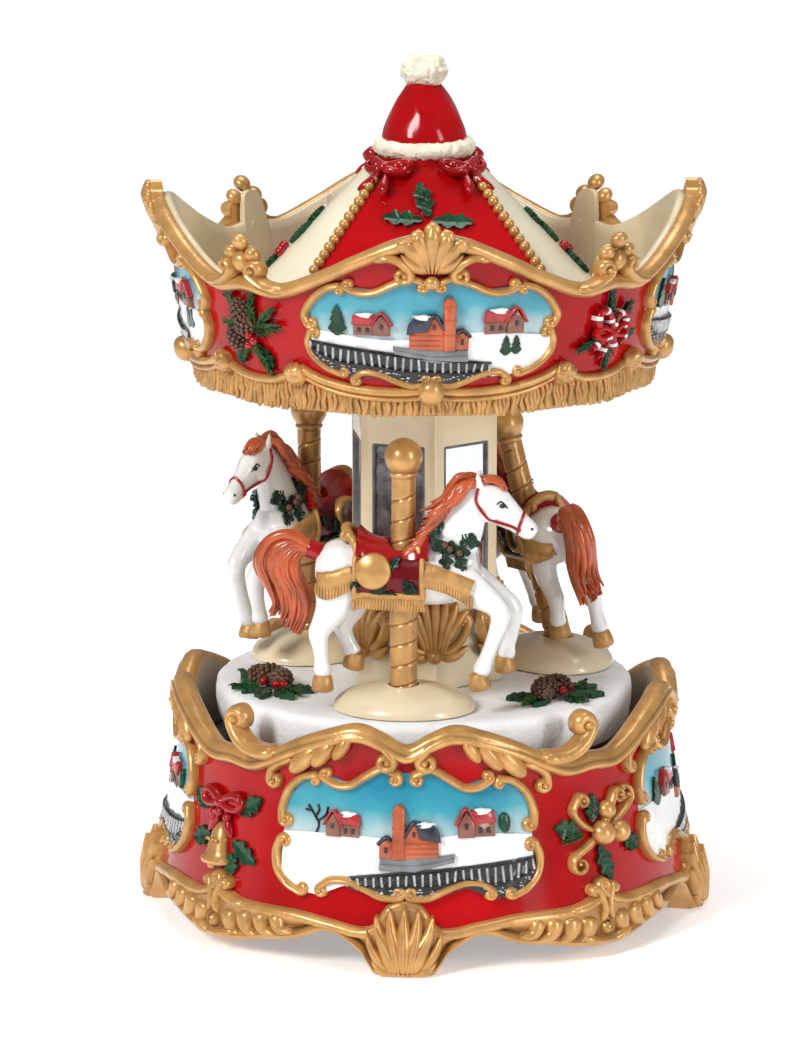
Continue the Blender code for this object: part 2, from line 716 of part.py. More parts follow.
HORSE_LIMBS = (
    # trunk, with the hip and the chest at its ends
    (
        (-21, 0, 94, 3.5, 3.2), (-18, 0, 94.5, 7.4, 5.8), (-9, 0, 93.4, 8.0, 6.6), (0, 0, 93, 8.0, 6.8),
        (9, 0, 93.4, 8.0, 6.4), (15.5, 0, 95, 6.0, 5.0), (18, 0, 95.4, 3, 3),
    ),
    # neck
    (
        (9, 0, 96.5, 6.2, 4.4), (13.4, 0, 103.5, 6.0, 3.9), (15.8, 0, 110, 5.0, 3.2),
        (18, 0, 115.4, 2.8, 2.2),
    ),
    # head
    (
        (18.6, 0, 114.4, 2.8, 2.3), (22.6, 0, 111, 4.4, 2.9), (26.8, 0, 108, 3.4, 2.4),
        (30, 0, 105.2, 2.8, 2.2), (31.9, 0, 103.4, 1.6, 1.5),
    ),
    # ears
    (
        (18.6, 1.8, 116.4, 1.1, 0.8), (18.2, 2, 119, 0.6, 0.5),
    ),
    (
        (18.6, -1.8, 116.4, 1.1, 0.8), (18.2, -2, 119, 0.6, 0.5),
    ),
    # fore legs
    (
        (13.5, -3.4, 93, 4.6, 3), (19.5, -3.9, 89.6, 3.8, 2.6), (23.6, -4, 86.4, 2.9, 2.4),
        (22.4, -4, 78, 2.2, 2), (20, -4, 70, 2.2, 2), (18.8, -4, 64.9, 2.5, 2.3),
    ),
    (
        (13.5, 3.4, 93, 4.6, 3), (20.5, 3.9, 88.6, 3.8, 2.6), (25.6, 4, 84.6, 2.9, 2.4),
        (25.4, 4, 77, 2.2, 2), (24.4, 4, 72.6, 2.2, 2), (24.2, 4, 67.9, 2.5, 2.3),
    ),
    # hind legs
    (
        (-15, -3.2, 93, 6.4, 3.6), (-16.8, -3.8, 86, 4.8, 3), (-19.6, -4, 79, 3, 2.4),
        (-20, -4, 74, 2.4, 2.1), (-19.4, -4, 68, 2.2, 2), (-19.4, -4, 63.1, 2.5, 2.3),
    ),
    (
        (-12.5, 3.2, 92, 6.2, 3.6), (-12.8, 3.8, 85, 4.4, 3), (-14.8, 4, 79, 2.8, 2.3),
        (-15, 4, 75.4, 2.3, 2.1), (-13.6, 4, 71.4, 2.2, 2), (-12.8, 4, 67.6, 2.5, 2.3),
    ),
    # tail
    (
        (-18, 0, 98, 2.4, 2), (-24, 0, 101.4, 2.6, 2.2), (-31, 0, 100, 3.8, 3), (-33.6, 0, 92.5, 4.2, 3.2),
        (-30.6, 0, 84.5, 4, 3), (-27.4, 0, 77, 2.2, 1.8),
    ),
    # saddle
    (
        (-12.8, 0, 107, 1, 2.4), (-10.6, 0, 104, 1.8, 4.4), (-6, 0, 101.6, 2.6, 5.6),
        (3, 0, 101.4, 2.6, 5.6), (8.4, 0, 102.6, 1.6, 3.6),
    ),
)


def horse_mesh():
    """One casting: overlapping limbs, fused and thinned by the modifiers on each horse."""
    points, faces = [], []
    for stations in HORSE_LIMBS:
        limb, sides = limb_mesh(stations)
        start = len(points)
        points += limb
        faces += [tuple(start + corner for corner in face) for face in sides]
    return points, faces


def horses():
    points, faces = horse_mesh()
    for name, place in pole_frames():
        horse = add_object(f"horse_{name}", points, faces, white(), 60.0)
        horse.matrix_world = place.copy()
        horse.matrix_world.translation = place.translation * MM
        fuse = horse.modifiers.new("fuse", "REMESH")
        fuse.mode = "VOXEL"
        fuse.voxel_size = 1.1 * MM
        thin = horse.modifiers.new("thin", "DECIMATE")
        thin.ratio = 0.055
        bore, sides = cylinder_mesh(POLE_RADIUS + GAP, 70.0, 120.0, 10)
        boolean(horse, cutter(f"horse_bore_{name}", moved(bore, place), sides))
        profile = [(0, POLE_FOOT_Z), (POLE_RADIUS, POLE_FOOT_Z), (POLE_RADIUS, 98.0), (POLE_TOP_RADIUS, 100.0)]
        profile.append((POLE_TOP_RADIUS, BALL_Z - BALL_RADIUS * 0.72))
        for rise in (-40, 0, 40):
            share = math.radians(rise)
            profile.append((BALL_RADIUS * math.cos(share), BALL_Z + BALL_RADIUS * math.sin(share)))
        profile.append((0, BALL_Z + BALL_RADIUS))
        rod, sides = turned_mesh(profile, 12)
        add_object(f"pole_{name}", moved(rod, place), sides, gold())


# ---------------------------------------------------------------- canopy


def canopy_crown():
    def section(angle):
        top = along(CROWN_TOP, angle - CANOPY_ANGLE)
        levels = (top, 0.5 * (top + 162.0), 162.0, 150.0, 142.3)
        outer = [(crown_radius(z), z) for z in levels]
        inner = [(crown_radius(z) - CROWN_WALL, z) for z in (150.0, 162.0, 0.5 * (top + 162.0), top)]
        ceiling = [(50.0, 142.3), (50.0, CEILING_Z[0]), (2.0, CEILING_Z[0]), (2.0, CEILING_Z[1]), (52.5, 143.6)]
        return outer + ceiling + inner

    return ring("canopy_crown", section, 40, red())


def canopy_fringe():
    inner, outer, low, high = FRINGE
    profile = ((inner, low + 1.0), (outer - 1.4, low), (outer - 0.6, low + 0.4), (outer, high), (inner, high))
    return ring("canopy_fringe", lambda angle: profile, 36, gold())


def roof_share(angle):
    """How far the four-sided roof reaches at an angle, as a share of its ridge radius."""
    off_face = (angle - CANOPY_ANGLE + 45) % 90 - 45
    return ROOF_FACE + (1 - ROOF_FACE) * (1 / math.cos(math.radians(off_face)) - 1) / (math.sqrt(2) - 1)


def roof():
    """A four-sided tent with slightly rounded faces, as an open shell standing on the canopy's ceiling."""
    count = 40
    angles = [CANOPY_ANGLE + 360.0 * k / count for k in range(count)]
    outer = [at(radius * roof_share(angle), angle, z) for radius, z in ROOF_RIDGE for angle in angles]
    under = [(radius - ROOF_WALL, z - (ROOF_WALL if z > 180 else 0)) for radius, z in ROOF_RIDGE]
    inner = [at(radius * roof_share(angle), angle, z) for radius, z in under for angle in angles]
    rows = len(ROOF_RIDGE)
    faces = []
    for row in list(range(rows - 1)) + list(range(rows, 2 * rows - 1)):
        for k in range(count):
            beside = (k + 1) % count
            low = row * count
            faces.append((low + k, low + beside, low + count + beside, low + count + k))
    low, inner_low = (rows - 1) * count, (2 * rows - 1) * count
    faces += [(low + k, low + (k + 1) % count, inner_low + (k + 1) % count, inner_low + k) for k in range(count)]
    faces += [tuple(range(count)), tuple(rows * count + k for k in range(count))]
    add_object("roof_cone", outer + inner, faces, cream())


def hat():
    radius, low, high = BAND
    round_edge = 1.4
    turned(
        "hat_band",
        (
            (0, low),
            (radius - round_edge, low),
            (radius, low + round_edge),
            (radius, high - round_edge),
            (radius - round_edge, high),
            (0, high),
        ),
        24,
        white(),
    )
    bottom, top = HAT_BOTTOM, HAT_TOP
    middle = (0.54 * (bottom[0] + top[0]), 0.5 * (bottom[1] + top[1]))
    turned("hat", ((0, bottom[1]), bottom, middle, top, (0, top[1])), 20, red())
    radius, half_height, centre = POMPOM
    profile = [(0, HAT_TOP[1] + GAP)]
    for rise in (-40, -15, 15, 40, 65):
        share = math.radians(rise)
        profile.append((radius * math.cos(share), centre + half_height * math.sin(share)))
    profile.append((0, HEIGHT))
    turned("pompom", profile, 16, white())


def main():
    remove_everything()
    base_shell()
    base_rim()
    foot_trim()
    base_deck()
    hub_bush()
    lift_track()
    bottom_cover()
    cover_screws()
    bedplate()
    winding_arbor()
    winding_key()
    spring_barrel()
    mainspring()
    drive_wheel()
    cylinder_arbor()
    pin_cylinder()
    train_wheel()
    governor()
    brackets()
    music_comb()
    platform()
    pole_domes()
    column()
    horses()
    canopy_crown()
    canopy_fringe()
    roof()
    hat()
    for number, side in enumerate(SIDE_NAMES):
        medallion(f"base_medallion_{side}", BASE_MEDALLION, base_radius, 90.0 * number)
        medallion(f"canopy_medallion_{side}", CANOPY_MEDALLION, crown_radius, 90.0 * number + CANOPY_ANGLE)


main()
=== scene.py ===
"""The looks of a wind-up carousel music box of painted cast resin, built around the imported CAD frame.

Millimetres while shaping, metres in the scene. Angles are degrees from the front (-Y) towards +X.
A relief is shaped flat, as (mm along, mm up, mm proud), and then laid on a wall, the roof or the platform.
"""

import math
import random

import bmesh
import bpy
import numpy as np
from mathutils import Matrix, Vector, noise
from mathutils.bvhtree import BVHTree


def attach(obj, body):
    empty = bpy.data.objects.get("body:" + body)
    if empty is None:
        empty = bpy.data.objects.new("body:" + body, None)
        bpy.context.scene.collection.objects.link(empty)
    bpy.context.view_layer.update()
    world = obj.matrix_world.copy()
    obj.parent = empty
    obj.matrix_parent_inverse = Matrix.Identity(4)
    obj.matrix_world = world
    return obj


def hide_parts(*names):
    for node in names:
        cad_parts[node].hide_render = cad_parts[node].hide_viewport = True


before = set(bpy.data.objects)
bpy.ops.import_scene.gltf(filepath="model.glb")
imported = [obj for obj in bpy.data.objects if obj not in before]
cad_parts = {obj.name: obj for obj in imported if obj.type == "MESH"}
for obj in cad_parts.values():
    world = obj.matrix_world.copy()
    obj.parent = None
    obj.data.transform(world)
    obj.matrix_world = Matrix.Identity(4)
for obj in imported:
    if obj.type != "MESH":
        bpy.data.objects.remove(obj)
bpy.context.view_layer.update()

MM = 0.001
SIDES = (0, 90, 180, 270)
CORNERS = (45, 135, 225, 315)
TURNTABLE_ANGLE = -3.8
CANOPY_ANGLE = 5.6
COLUMN_ANGLE = 12.0
COLUMN_RADIUS, FAN_RADIUS = 19.6, 18.6
RING_STEPS = 288
CURL_STEPS, CURL_TURNS, CURL_SHRINK = 22, 1.15, 0.72
# painted reflection: these three panes get a dark, mottled mirror colour that paints in a dark reflection
DARK_PANES = ("mirror_2", "mirror_4", "mirror_6")

# Base
BASE_MM = 1.1
RIM_TOP = ((0, 55.8), (5, 58.4), (11, 60.6), (18, 58.8), (26, 55.6), (32, 52.4), (38, 50.0), (45, 50.4))
TRIM_BOTTOM = ((0, 0), (6, 0), (9, 4.6), (16, 9.2), (24, 6.4), (31, 5.2), (38, 3.6), (45, 3.0))
TRIM_TOP = ((0, 18.4), (4, 16.6), (7, 11.6), (16, 12.6), (24, 13.8), (38, 14.0), (45, 16.0))
TRIM_RADIUS = ((0, 70.5), (6, 70.5), (9, 69.2), (30, 69.4), (40, 70.2), (45, 70.4))
BASE_PICTURE = (
    (0, 48.2, 19.8), (6, 49.6, 19.2), (13, 45.2, 21.6), (19, 47.0, 18.6), (24, 45.2, 19.4),
    (28, 40.0, 23.0), (29, 36.0, 27.0)
)

# Turntable
PLATFORM_TOP = 58.6
POLE_RING = 37.0
POLES = (("front", 0.0, 0.0), ("right", 120.0, 14.0), ("left", 240.0, 0.0))
LEAN_DIRECTION = 184.2
PLATFORM_BORE, PLATFORM_BORE_Z = 3.8, (44, 72)
HORSE_BORE = 3.75
DOME_RING, GREENS_RING = 36.0, 41.0
DOME_HALF = (14.4, 17.5)
DOME_Z = (58.9, 65.1)

# Canopy
CROWN_MM = 1.06
CROWN_PROFILE = ((142.3, 57.2), (150.0, 59.3), (162.0, 61.3), (172.0, 62.9), (181.0, 65.4))
CROWN_TOP = ((0, 181.4), (7, 180.2), (16, 176.0), (25, 171.2), (36, 167.0), (45, 168.0))
CROWN_PICTURE = (
    (0, 168.8, 145.0), (6, 169.6, 144.8), (13, 167.0, 146.2), (20, 167.6, 146.6), (26, 165.0, 149.4),
    (29, 160.0, 153.8)
)
ROOF_RIDGE = ((50.0, 144.2), (49.0, 152.0), (46.0, 159.5), (36.2, 168.5), (16.2, 187.6), (13.0, 190.2))
ROOF_FACE = 0.78
CREAM_FACE = 0.91
# rough() takes plain noise at three fixed places: noise_vector differs from one Blender run to the next
ROUGH_OFFSETS = ((0, 0, 0), (37.3, 0, 0), (0, 51.7, 0))


# ---------------------------------------------------------------- camera, light and stage

LAMP_TARGET = (0, 0, 0.11)


def linked(name, data):
    """A new object in the scene."""
    obj = bpy.data.objects.new(name, data)
    bpy.context.scene.collection.objects.link(obj)
    return obj


def camera():
    """The fitted camera, made before any lamp or piece."""
    target, distance = Vector((-0.00603, 0.0, 0.09836)), 1.3511
    azimuth, elevation = math.radians(4.2), 0.216
    data = bpy.data.cameras.new("camera")
    data.lens, data.sensor_width = 186.7, 36.0
    data.clip_end = 50.0
    data.dof.use_dof = False
    eye = linked("camera", data)
    away = Vector((
        math.sin(azimuth) * math.cos(elevation), -math.cos(azimuth) * math.cos(elevation),
        math.sin(elevation)
    ))
    eye.location = target + away * distance
    eye.rotation_euler = away.to_track_quat("Z", "Y").to_euler()
    bpy.context.scene.camera = eye


def softbox(name, position, size, power):
    """One large soft lamp aimed at a point on the object."""
    data = bpy.data.lights.new(name, "AREA")
    data.shape, data.size, data.size_y, data.energy = "RECTANGLE", size[0], size[1], power
    lamp = linked(name, data)
    lamp.location = position
    lamp.rotation_euler = (Vector(position) - Vector(LAMP_TARGET)).to_track_quat("Z", "Y").to_euler()


def studio():
    """White surroundings for the eye, a dimmer room for the object, three softboxes and a pale floor."""
    world = bpy.data.worlds.new("studio")
    world.use_nodes = True
    nodes, links = world.node_tree.nodes, world.node_tree.links
    background = nodes["Background"]
    background.inputs["Color"].default_value = (1, 1, 1, 1)
    seen = nodes.new("ShaderNodeLightPath")
    level = nodes.new("ShaderNodeMapRange")
    level.inputs["To Min"].default_value, level.inputs["To Max"].default_value = 0.24, 1.0
    links.new(seen.outputs["Is Camera Ray"], level.inputs["Value"])
    links.new(level.outputs["Result"], background.inputs["Strength"])
    bpy.context.scene.world = world
    bpy.context.scene.view_settings.view_transform = "Standard"
    softbox("key", (-0.70, -0.90, 0.85), (0.30, 0.45), 13)
    softbox("fill", (0.95, -0.75, 0.40), (0.22, 0.70), 5.5)
    softbox("top", (0.05, 0.15, 1.15), (0.6, 0.6), 6)
    mesh = bpy.data.meshes.new("floor")
    reach = 0.62
    mesh.from_pydata(
        [(-reach, -reach, 0), (reach, -reach, 0), (reach, reach, 0), (-reach, reach, 0)], [], [(0, 1, 2, 3)]
    )
    floor = linked("floor", mesh)
    finish = paint("floor_paper", (0.93, 0.93, 0.93), 0.9, mottling=0.01, grain=900, relief=0.02, coat=0.0)
    shader = finish.node_tree.nodes["Principled BSDF"]
    shader.inputs["Emission Color"].default_value = (1, 1, 1, 1)
    shader.inputs["Emission Strength"].default_value = 0.34
    mesh.materials.append(finish)


# ---------------------------------------------------------------- materials


def paint(
    name, colour, roughness=0.3, mottling=0.12, grain=500, relief=0.12, coat=0.5, metallic=0.0, hollow_shade=None,
    hollow_shade_range=(0.40, 0.50), shine=0.5
):
    """Brushed paint with uneven colour, bumps and gloss; hollow_shade is a darker colour painted into the
    hollows as painted shade.
    """
    material = bpy.data.materials.new(name)
    material.use_nodes = True
    nodes, links = material.node_tree.nodes, material.node_tree.links
    shader = nodes["Principled BSDF"]
    where = nodes.new("ShaderNodeTexCoord")

    def noise_at(scale, detail):
        node = nodes.new("ShaderNodeTexNoise")
        node.inputs["Scale"].default_value = scale
        node.inputs["Detail"].default_value = detail
        links.new(where.outputs["Object"], node.inputs["Vector"])
        return node.outputs["Fac"]

    slow, fine = noise_at(grain * 0.3, 3.0), noise_at(grain, 4.0)
    ramp = nodes.new("ShaderNodeValToRGB")
    dark = [c * (1 - mottling) for c in colour]
    light = [min(1.0, c * (1 + mottling * 0.6) + 0.01 * mottling) for c in colour]
    for stop, place, value in zip(ramp.color_ramp.elements, (0.3, 0.72), (dark, light)):
        stop.position, stop.color = place, (*value, 1)
    links.new(slow, ramp.inputs["Fac"])
    tone = ramp.outputs["Color"]
    # painted shade: hollows and creases (low pointiness) get a darker colour mixed in, standing in for the
    # shade that falls there
    if hollow_shade:
        shape = nodes.new("ShaderNodeNewGeometry")
        reach = nodes.new("ShaderNodeMapRange")
        reach.inputs["From Min"].default_value, reach.inputs["From Max"].default_value = hollow_shade_range
        links.new(shape.outputs["Pointiness"], reach.inputs["Value"])
        mix = nodes.new("ShaderNodeMix")
        mix.data_type = "RGBA"
        mix.inputs["A"].default_value = (*hollow_shade, 1)
        links.new(reach.outputs["Result"], mix.inputs["Factor"])
        links.new(tone, mix.inputs["B"])
        tone = mix.outputs["Result"]
    links.new(tone, shader.inputs["Base Color"])
    gloss = nodes.new("ShaderNodeMapRange")
    gloss.inputs["To Min"].default_value = roughness * 0.85
    gloss.inputs["To Max"].default_value = min(1.0, roughness * 1.25)
    links.new(fine, gloss.inputs["Value"])
    links.new(gloss.outputs["Result"], shader.inputs["Roughness"])
    bump = nodes.new("ShaderNodeBump")
    bump.inputs["Strength"].default_value = relief
    bump.inputs["Distance"].default_value = 0.0006
    links.new(fine, bump.inputs["Height"])
    links.new(bump.outputs["Normal"], shader.inputs["Normal"])
    shader.inputs["Metallic"].default_value = metallic
    shader.inputs["Specular IOR Level"].default_value = shine
    shader.inputs["Coat Weight"].default_value = coat
    shader.inputs["Coat Roughness"].default_value = 0.06
    return material


def sky(name, low, high):
    """Hand-blended sky: turquoise above, nearly white at the horizon, heights in mm."""
    material = paint(name, (0.2, 0.6, 0.72), 0.25, grain=260, relief=0.05, coat=0.6)
    nodes, links = material.node_tree.nodes, material.node_tree.links
    where = nodes.new("ShaderNodeTexCoord")
    split = nodes.new("ShaderNodeSeparateXYZ")
    links.new(where.outputs["Object"], split.inputs["Vector"])
    rise = nodes.new("ShaderNodeMapRange")
    rise.inputs["From Min"].default_value, rise.inputs["From Max"].default_value = low * MM, high * MM
    links.new(split.outputs["Z"], rise.inputs["Value"])
    cloud = nodes.new("ShaderNodeTexNoise")
    cloud.inputs["Scale"].default_value = 110
    links.new(where.outputs["Object"], cloud.inputs["Vector"])
    shift = nodes.new("ShaderNodeMath")
    shift.operation = "MULTIPLY_ADD"
    shift.inputs[1].default_value = 0.7
    links.new(cloud.outputs["Fac"], shift.inputs[0])
    lower = nodes.new("ShaderNodeMath")
    lower.operation = "SUBTRACT"
    lower.inputs[1].default_value = 0.35
    links.new(rise.outputs["Result"], lower.inputs[0])
    links.new(lower.outputs["Value"], shift.inputs[2])
    ramp = nodes.new("ShaderNodeValToRGB")
    stops = ramp.color_ramp.elements
    stops[0].position, stops[0].color = 0.0, (0.46, 0.60, 0.62, 1)
    stops[1].position, stops[1].color = 1.0, (0.0, 0.21, 0.34, 1)
    middle = stops.new(0.5)
    middle.color = (0.04, 0.34, 0.43, 1)
    links.new(shift.outputs["Value"], ramp.inputs["Fac"])
    links.new(ramp.outputs["Color"], nodes["Principled BSDF"].inputs["Base Color"])
    return material


def make_paints():
    """Every procedural paint, by short name."""
    return {
        "red": paint(
            "red_gloss", (0.43, 0.001, 0.003), 0.14, mottling=0.22, grain=150, relief=0.05, coat=0.22,
            shine=0.16
        ),
        "dark_red": paint(
            "dark_red_gloss", (0.17, 0.002, 0.006), 0.25, mottling=0.4, grain=500, coat=0.2, shine=0.2
        ),
        # painted shade: both golds are darkened in their hollows and creases, as the shade there
        "gold": paint(
            "gold_with_painted_shade", (0.60, 0.32, 0.10), 0.30, mottling=0.22, grain=700, relief=0.16, coat=0.25,
            metallic=0.35, hollow_shade=(0.14, 0.048, 0.011), hollow_shade_range=(0.435, 0.525)
        ),
        "gold_rough": paint(
            "worn_gold_with_painted_shade", (0.56, 0.30, 0.095), 0.42, mottling=0.28, grain=900, relief=0.4, coat=0.15,
            metallic=0.3, hollow_shade=(0.16, 0.06, 0.016), hollow_shade_range=(0.42, 0.51)
        ),
        "cream": paint(
            "cream_gloss", (0.86, 0.73, 0.50), 0.28, mottling=0.10, grain=220, relief=0.06, coat=0.5
        ),
        "cream_roof": paint(
            "pale_cream", (0.90, 0.83, 0.62), 0.3, mottling=0.08, grain=220, relief=0.06, coat=0.5
        ),
        "inner": paint(
            "inner_wall", (0.44, 0.37, 0.29), 0.4, mottling=0.35, grain=160, relief=0.2, coat=0.3
        ),
        # painted shade: the canopy's inside is the same cream, darkened for the shade it lies in
        "crown_inside_painted_shade": paint(
            "crown_inside_painted_shade", (0.66, 0.55, 0.36), 0.35, mottling=0.28, grain=120, relief=0.1, coat=0.3
        ),
        "snow": paint("snow", (0.92, 0.93, 0.94), 0.7, mottling=0.03, grain=900, relief=0.45, coat=0.0),
        "snow_smooth": paint(
            "painted_snow", (0.90, 0.90, 0.89), 0.4, mottling=0.08, grain=420, relief=0.35, coat=0.3
        ),
        # painted shade: the fur is darkened between its tufts
        "fur": paint(
            "fur", (0.92, 0.84, 0.67), 0.8, mottling=0.22, grain=1100, relief=1.0, coat=0.0,
            hollow_shade=(0.45, 0.36, 0.22)
        ),
        # painted shade: the white is greyed in the creases of the body
        "horse": paint(
            "horse_white", (0.84, 0.84, 0.83), 0.2, mottling=0.05, grain=300, relief=0.04, coat=0.7,
            hollow_shade=(0.62, 0.60, 0.57), hollow_shade_range=(0.36, 0.48)
        ),
        # painted shade: the orange turns nearly black in the hollows between the locks
        "mane": paint(
            "mane_orange", (0.50, 0.085, 0.018), 0.3, mottling=0.35, grain=700, relief=0.3, coat=0.5,
            hollow_shade=(0.13, 0.014, 0.005), hollow_shade_range=(0.41, 0.50)
        ),
        "green": paint(
            "holly_green", (0.006, 0.060, 0.022), 0.25, mottling=0.7, grain=800, relief=0.3, coat=0.2,
            shine=0.25
        ),
        "green_light": paint(
            "needle_green", (0.022, 0.085, 0.012), 0.4, mottling=0.8, grain=900, relief=0.4, coat=0.15,
            shine=0.3
        ),
        "green_dark": paint(
            "dark_green", (0.005, 0.028, 0.012), 0.3, mottling=0.6, grain=800, relief=0.4, coat=0.15,
            shine=0.25
        ),
        "berry": paint(
            "berry_red", (0.36, 0.002, 0.005), 0.15, mottling=0.25, grain=400, relief=0.05, coat=0.5,
            shine=0.3
        ),
        # painted shade: the cone is nearly black between its scales
        "cone": paint(
            "pine_cone", (0.11, 0.045, 0.022), 0.45, mottling=0.5, grain=900, relief=0.5, coat=0.3,
            hollow_shade=(0.02, 0.008, 0.005)
        ),
        "navy": paint("navy_roof", (0.015, 0.022, 0.045), 0.35, mottling=0.5, grain=900, relief=0.4),
        # painted shade: the station's orange is darkened in its recesses
        "station": paint(
            "station_orange", (0.50, 0.10, 0.03), 0.4, mottling=0.3, grain=900, relief=0.4,
            hollow_shade=(0.2, 0.03, 0.01)
        ),
        "house": paint("house_brown", (0.26, 0.085, 0.055), 0.45, mottling=0.35, grain=900, relief=0.4),
        "roof_red": paint("roof_red", (0.42, 0.012, 0.015), 0.35, mottling=0.3, grain=900, relief=0.3),
        "grey": paint("platform_grey", (0.20, 0.21, 0.22), 0.45, mottling=0.3, grain=900, relief=0.4),
        "black": paint(
            "track_black", (0.012, 0.011, 0.011), 0.3, mottling=0.5, grain=1100, relief=0.9, coat=0.4
        ),
        "silver": paint(
            "tie_silver", (0.55, 0.55, 0.55), 0.35, mottling=0.4, grain=1400, relief=0.6, metallic=0.5
        ),
        "mirror": paint(
            "mirror_glass", (0.80, 0.82, 0.84), 0.06, mottling=0.1, grain=90, relief=0.05, coat=0.0,
            metallic=1.0
        ),
        # painted reflection: a dark mirror colour standing in for what these panes reflect
        "mirror_dark": paint(
            "mirror_dark_reflection", (0.20, 0.19, 0.20), 0.22, mottling=0.7, grain=700, relief=0.5, coat=0.1,
            metallic=0.7
        ),
        "mirror_edge": paint(
            "mirror_edge", (0.16, 0.16, 0.16), 0.4, mottling=0.4, grain=900, relief=0.4, metallic=0.3
        ),
        "brass": paint(
            "brushed_brass", (0.66, 0.46, 0.17), 0.28, mottling=0.15, grain=600, relief=0.15, coat=0.1,
            metallic=1.0
        ),
        "steel": paint(
            "plated_steel", (0.52, 0.53, 0.55), 0.25, mottling=0.12, grain=600, relief=0.12, coat=0.1,
            metallic=1.0
        ),
        "board": paint(
            "moulded_board", (0.12, 0.10, 0.08), 0.5, mottling=0.25, grain=1200, relief=0.3, coat=0.0
        ),
    }


# ---------------------------------------------------------------- shaping


def along(points, angle):
    """A value on a smooth curve through (angle, value) points from 0 to 45, mirrored in each quarter."""
    share = abs((angle + 45) % 90 - 45)
    x, y = zip(*points)
    k = min(max(int(np.searchsorted(x, share)) - 1, 0), len(x) - 2)

    def slope(i):
        return (y[i + 1] - y[i - 1]) / (x[i + 1] - x[i - 1]) if 0 < i < len(x) - 1 else 0.0

    width = x[k + 1] - x[k]
    t = (share - x[k]) / width
    return (
        y[k] * (1 + 2 * t) * (1 - t) ** 2 + slope(k) * width * t * (1 - t) ** 2
        + y[k + 1] * t * t * (3 - 2 * t) - slope(k + 1) * width * t * t * (1 - t)
    )


def base_radius(z):
    """Radius of the red base wall at a height."""
    return 60.5 + 6.5 * (np.clip(56.0 - np.asarray(z, float), 0, 48) / 48) ** 1.3


def crown_radius(z):
    """Radius of the canopy wall at a height."""
    return np.interp(z, *zip(*CROWN_PROFILE))


def at(radius, angle, z):
    """A point by radius, angle from the front and height."""
    a = math.radians(angle)
    return radius * math.sin(a), -radius * math.cos(a), z


def wall(radius_at, mm_per_degree, turn):
    """Lays flat points on an upright round wall."""

    def place(flat):
        s, z, proud = flat.T
        radius, a = radius_at(z) + proud, np.radians(turn + s / mm_per_degree)
        return np.stack((radius * np.sin(a), -radius * np.cos(a), z), 1)

    return place


def roof_share(off_face, middle):
    """How far the tent roof reaches at an angle from a face's middle, as a share of its ridge radius."""
    return middle + (1 - middle) * (1 / np.cos(off_face) - 1) / (math.sqrt(2) - 1)


def roof_lengths(reach):
    """How far up the slope each corner of the ridge line is, counted from its lower break."""
    radii, heights = np.array(ROOF_RIDGE).T
    lengths = np.concatenate(([0], np.cumsum(np.hypot(np.diff(radii * reach), np.diff(heights)))))
    return lengths - lengths[3]


def roof(turn, reach=ROOF_FACE):
    """Lays flat points on a roof face or ridge: sideways, up the slope from its lower break, proud."""
    radii, heights = np.array(ROOF_RIDGE).T
    lengths = roof_lengths(reach)
    slope = np.array((heights[4] - heights[3], reach * (radii[3] - radii[4])))
    slope /= np.linalg.norm(slope)

    def place(flat):
        s, t, proud = flat.T
        radius, z = np.interp(t, lengths, radii), np.interp(t, lengths, heights)
        a = np.arctan2(s, radius * reach)
        share = roof_share(a, reach) if reach < 1 else np.cos(a) ** 0.9
        radius, a = radius * share + proud * slope[0], a + math.radians(turn)
        return np.stack((radius * np.sin(a), -radius * np.cos(a), z + proud * slope[1]), 1)

    return place


def ground(angle, radius, z, turn=0.0):
    """Lays flat points on a level surface round a spot."""
    x, y, _ = at(radius, angle, 0)
    a = math.radians(angle + turn)

    def place(flat):
        s, t, proud = flat.T
        return np.stack(
            (x + s * math.cos(a) - t * math.sin(a), y + s * math.sin(a) + t * math.cos(a), z + proud), 1
        )

    return place


def laid(parts, place):
    """Flat parts laid on a surface by its mapping."""
    return [(place(np.asarray(points, float)), faces) for points, faces in parts]


def placed(parts, matrix):
    """Parts moved by a matrix."""
    turn, shift = np.array(matrix.to_3x3()), np.array(matrix.translation)
    return [(np.asarray(points, float) @ turn.T + shift, faces) for points, faces in parts]


def shifted(parts, s=0.0, t=0.0, proud=0.0, turn=0.0, scale=1.0, flip=False):
    """Flat parts scaled, mirrored, turned by degrees and moved."""
    a = math.radians(turn)
    result = []
    for points, faces in parts:
        p = np.array(points, float) * scale
        if flip:
            p[:, 0] *= -1
        x, y = p[:, 0].copy(), p[:, 1].copy()
        p[:, 0], p[:, 1] = x * math.cos(a) - y * math.sin(a) + s, x * math.sin(a) + y * math.cos(a) + t
        p[:, 2] += proud
        result.append((p, faces))
    return result


def mesh_of(name, parts, scale=MM):
    """One mesh from closed parts, with every face turned outward."""
    points, faces, start = [], [], 0
    for part_points, part_faces in parts:
        points.append(np.asarray(part_points, float) * scale)
        faces += [tuple(start + corner for corner in face) for face in part_faces]
        start += len(part_points)
    mesh = bpy.data.meshes.new(name)
    mesh.from_pydata(np.concatenate(points).tolist(), [], faces)
    tidy = bmesh.new()
    tidy.from_mesh(mesh)
    bmesh.ops.recalc_face_normals(tidy, faces=tidy.faces)
    tidy.to_mesh(mesh)
    tidy.free()
    return mesh


def bake(obj):
    """Replaces an object's mesh by the one its modifiers make."""
    mesh = bpy.data.meshes.new_from_object(obj.evaluated_get(bpy.context.evaluated_depsgraph_get()))
    obj.modifiers.clear()
    obj.data = mesh


def cut_by(obj, drill):
    """Takes the drill's shape out of an object, once it is baked."""
    cut = obj.modifiers.new("cut", "BOOLEAN")
    cut.object, cut.operation, cut.solver = drill, "DIFFERENCE", "EXACT"


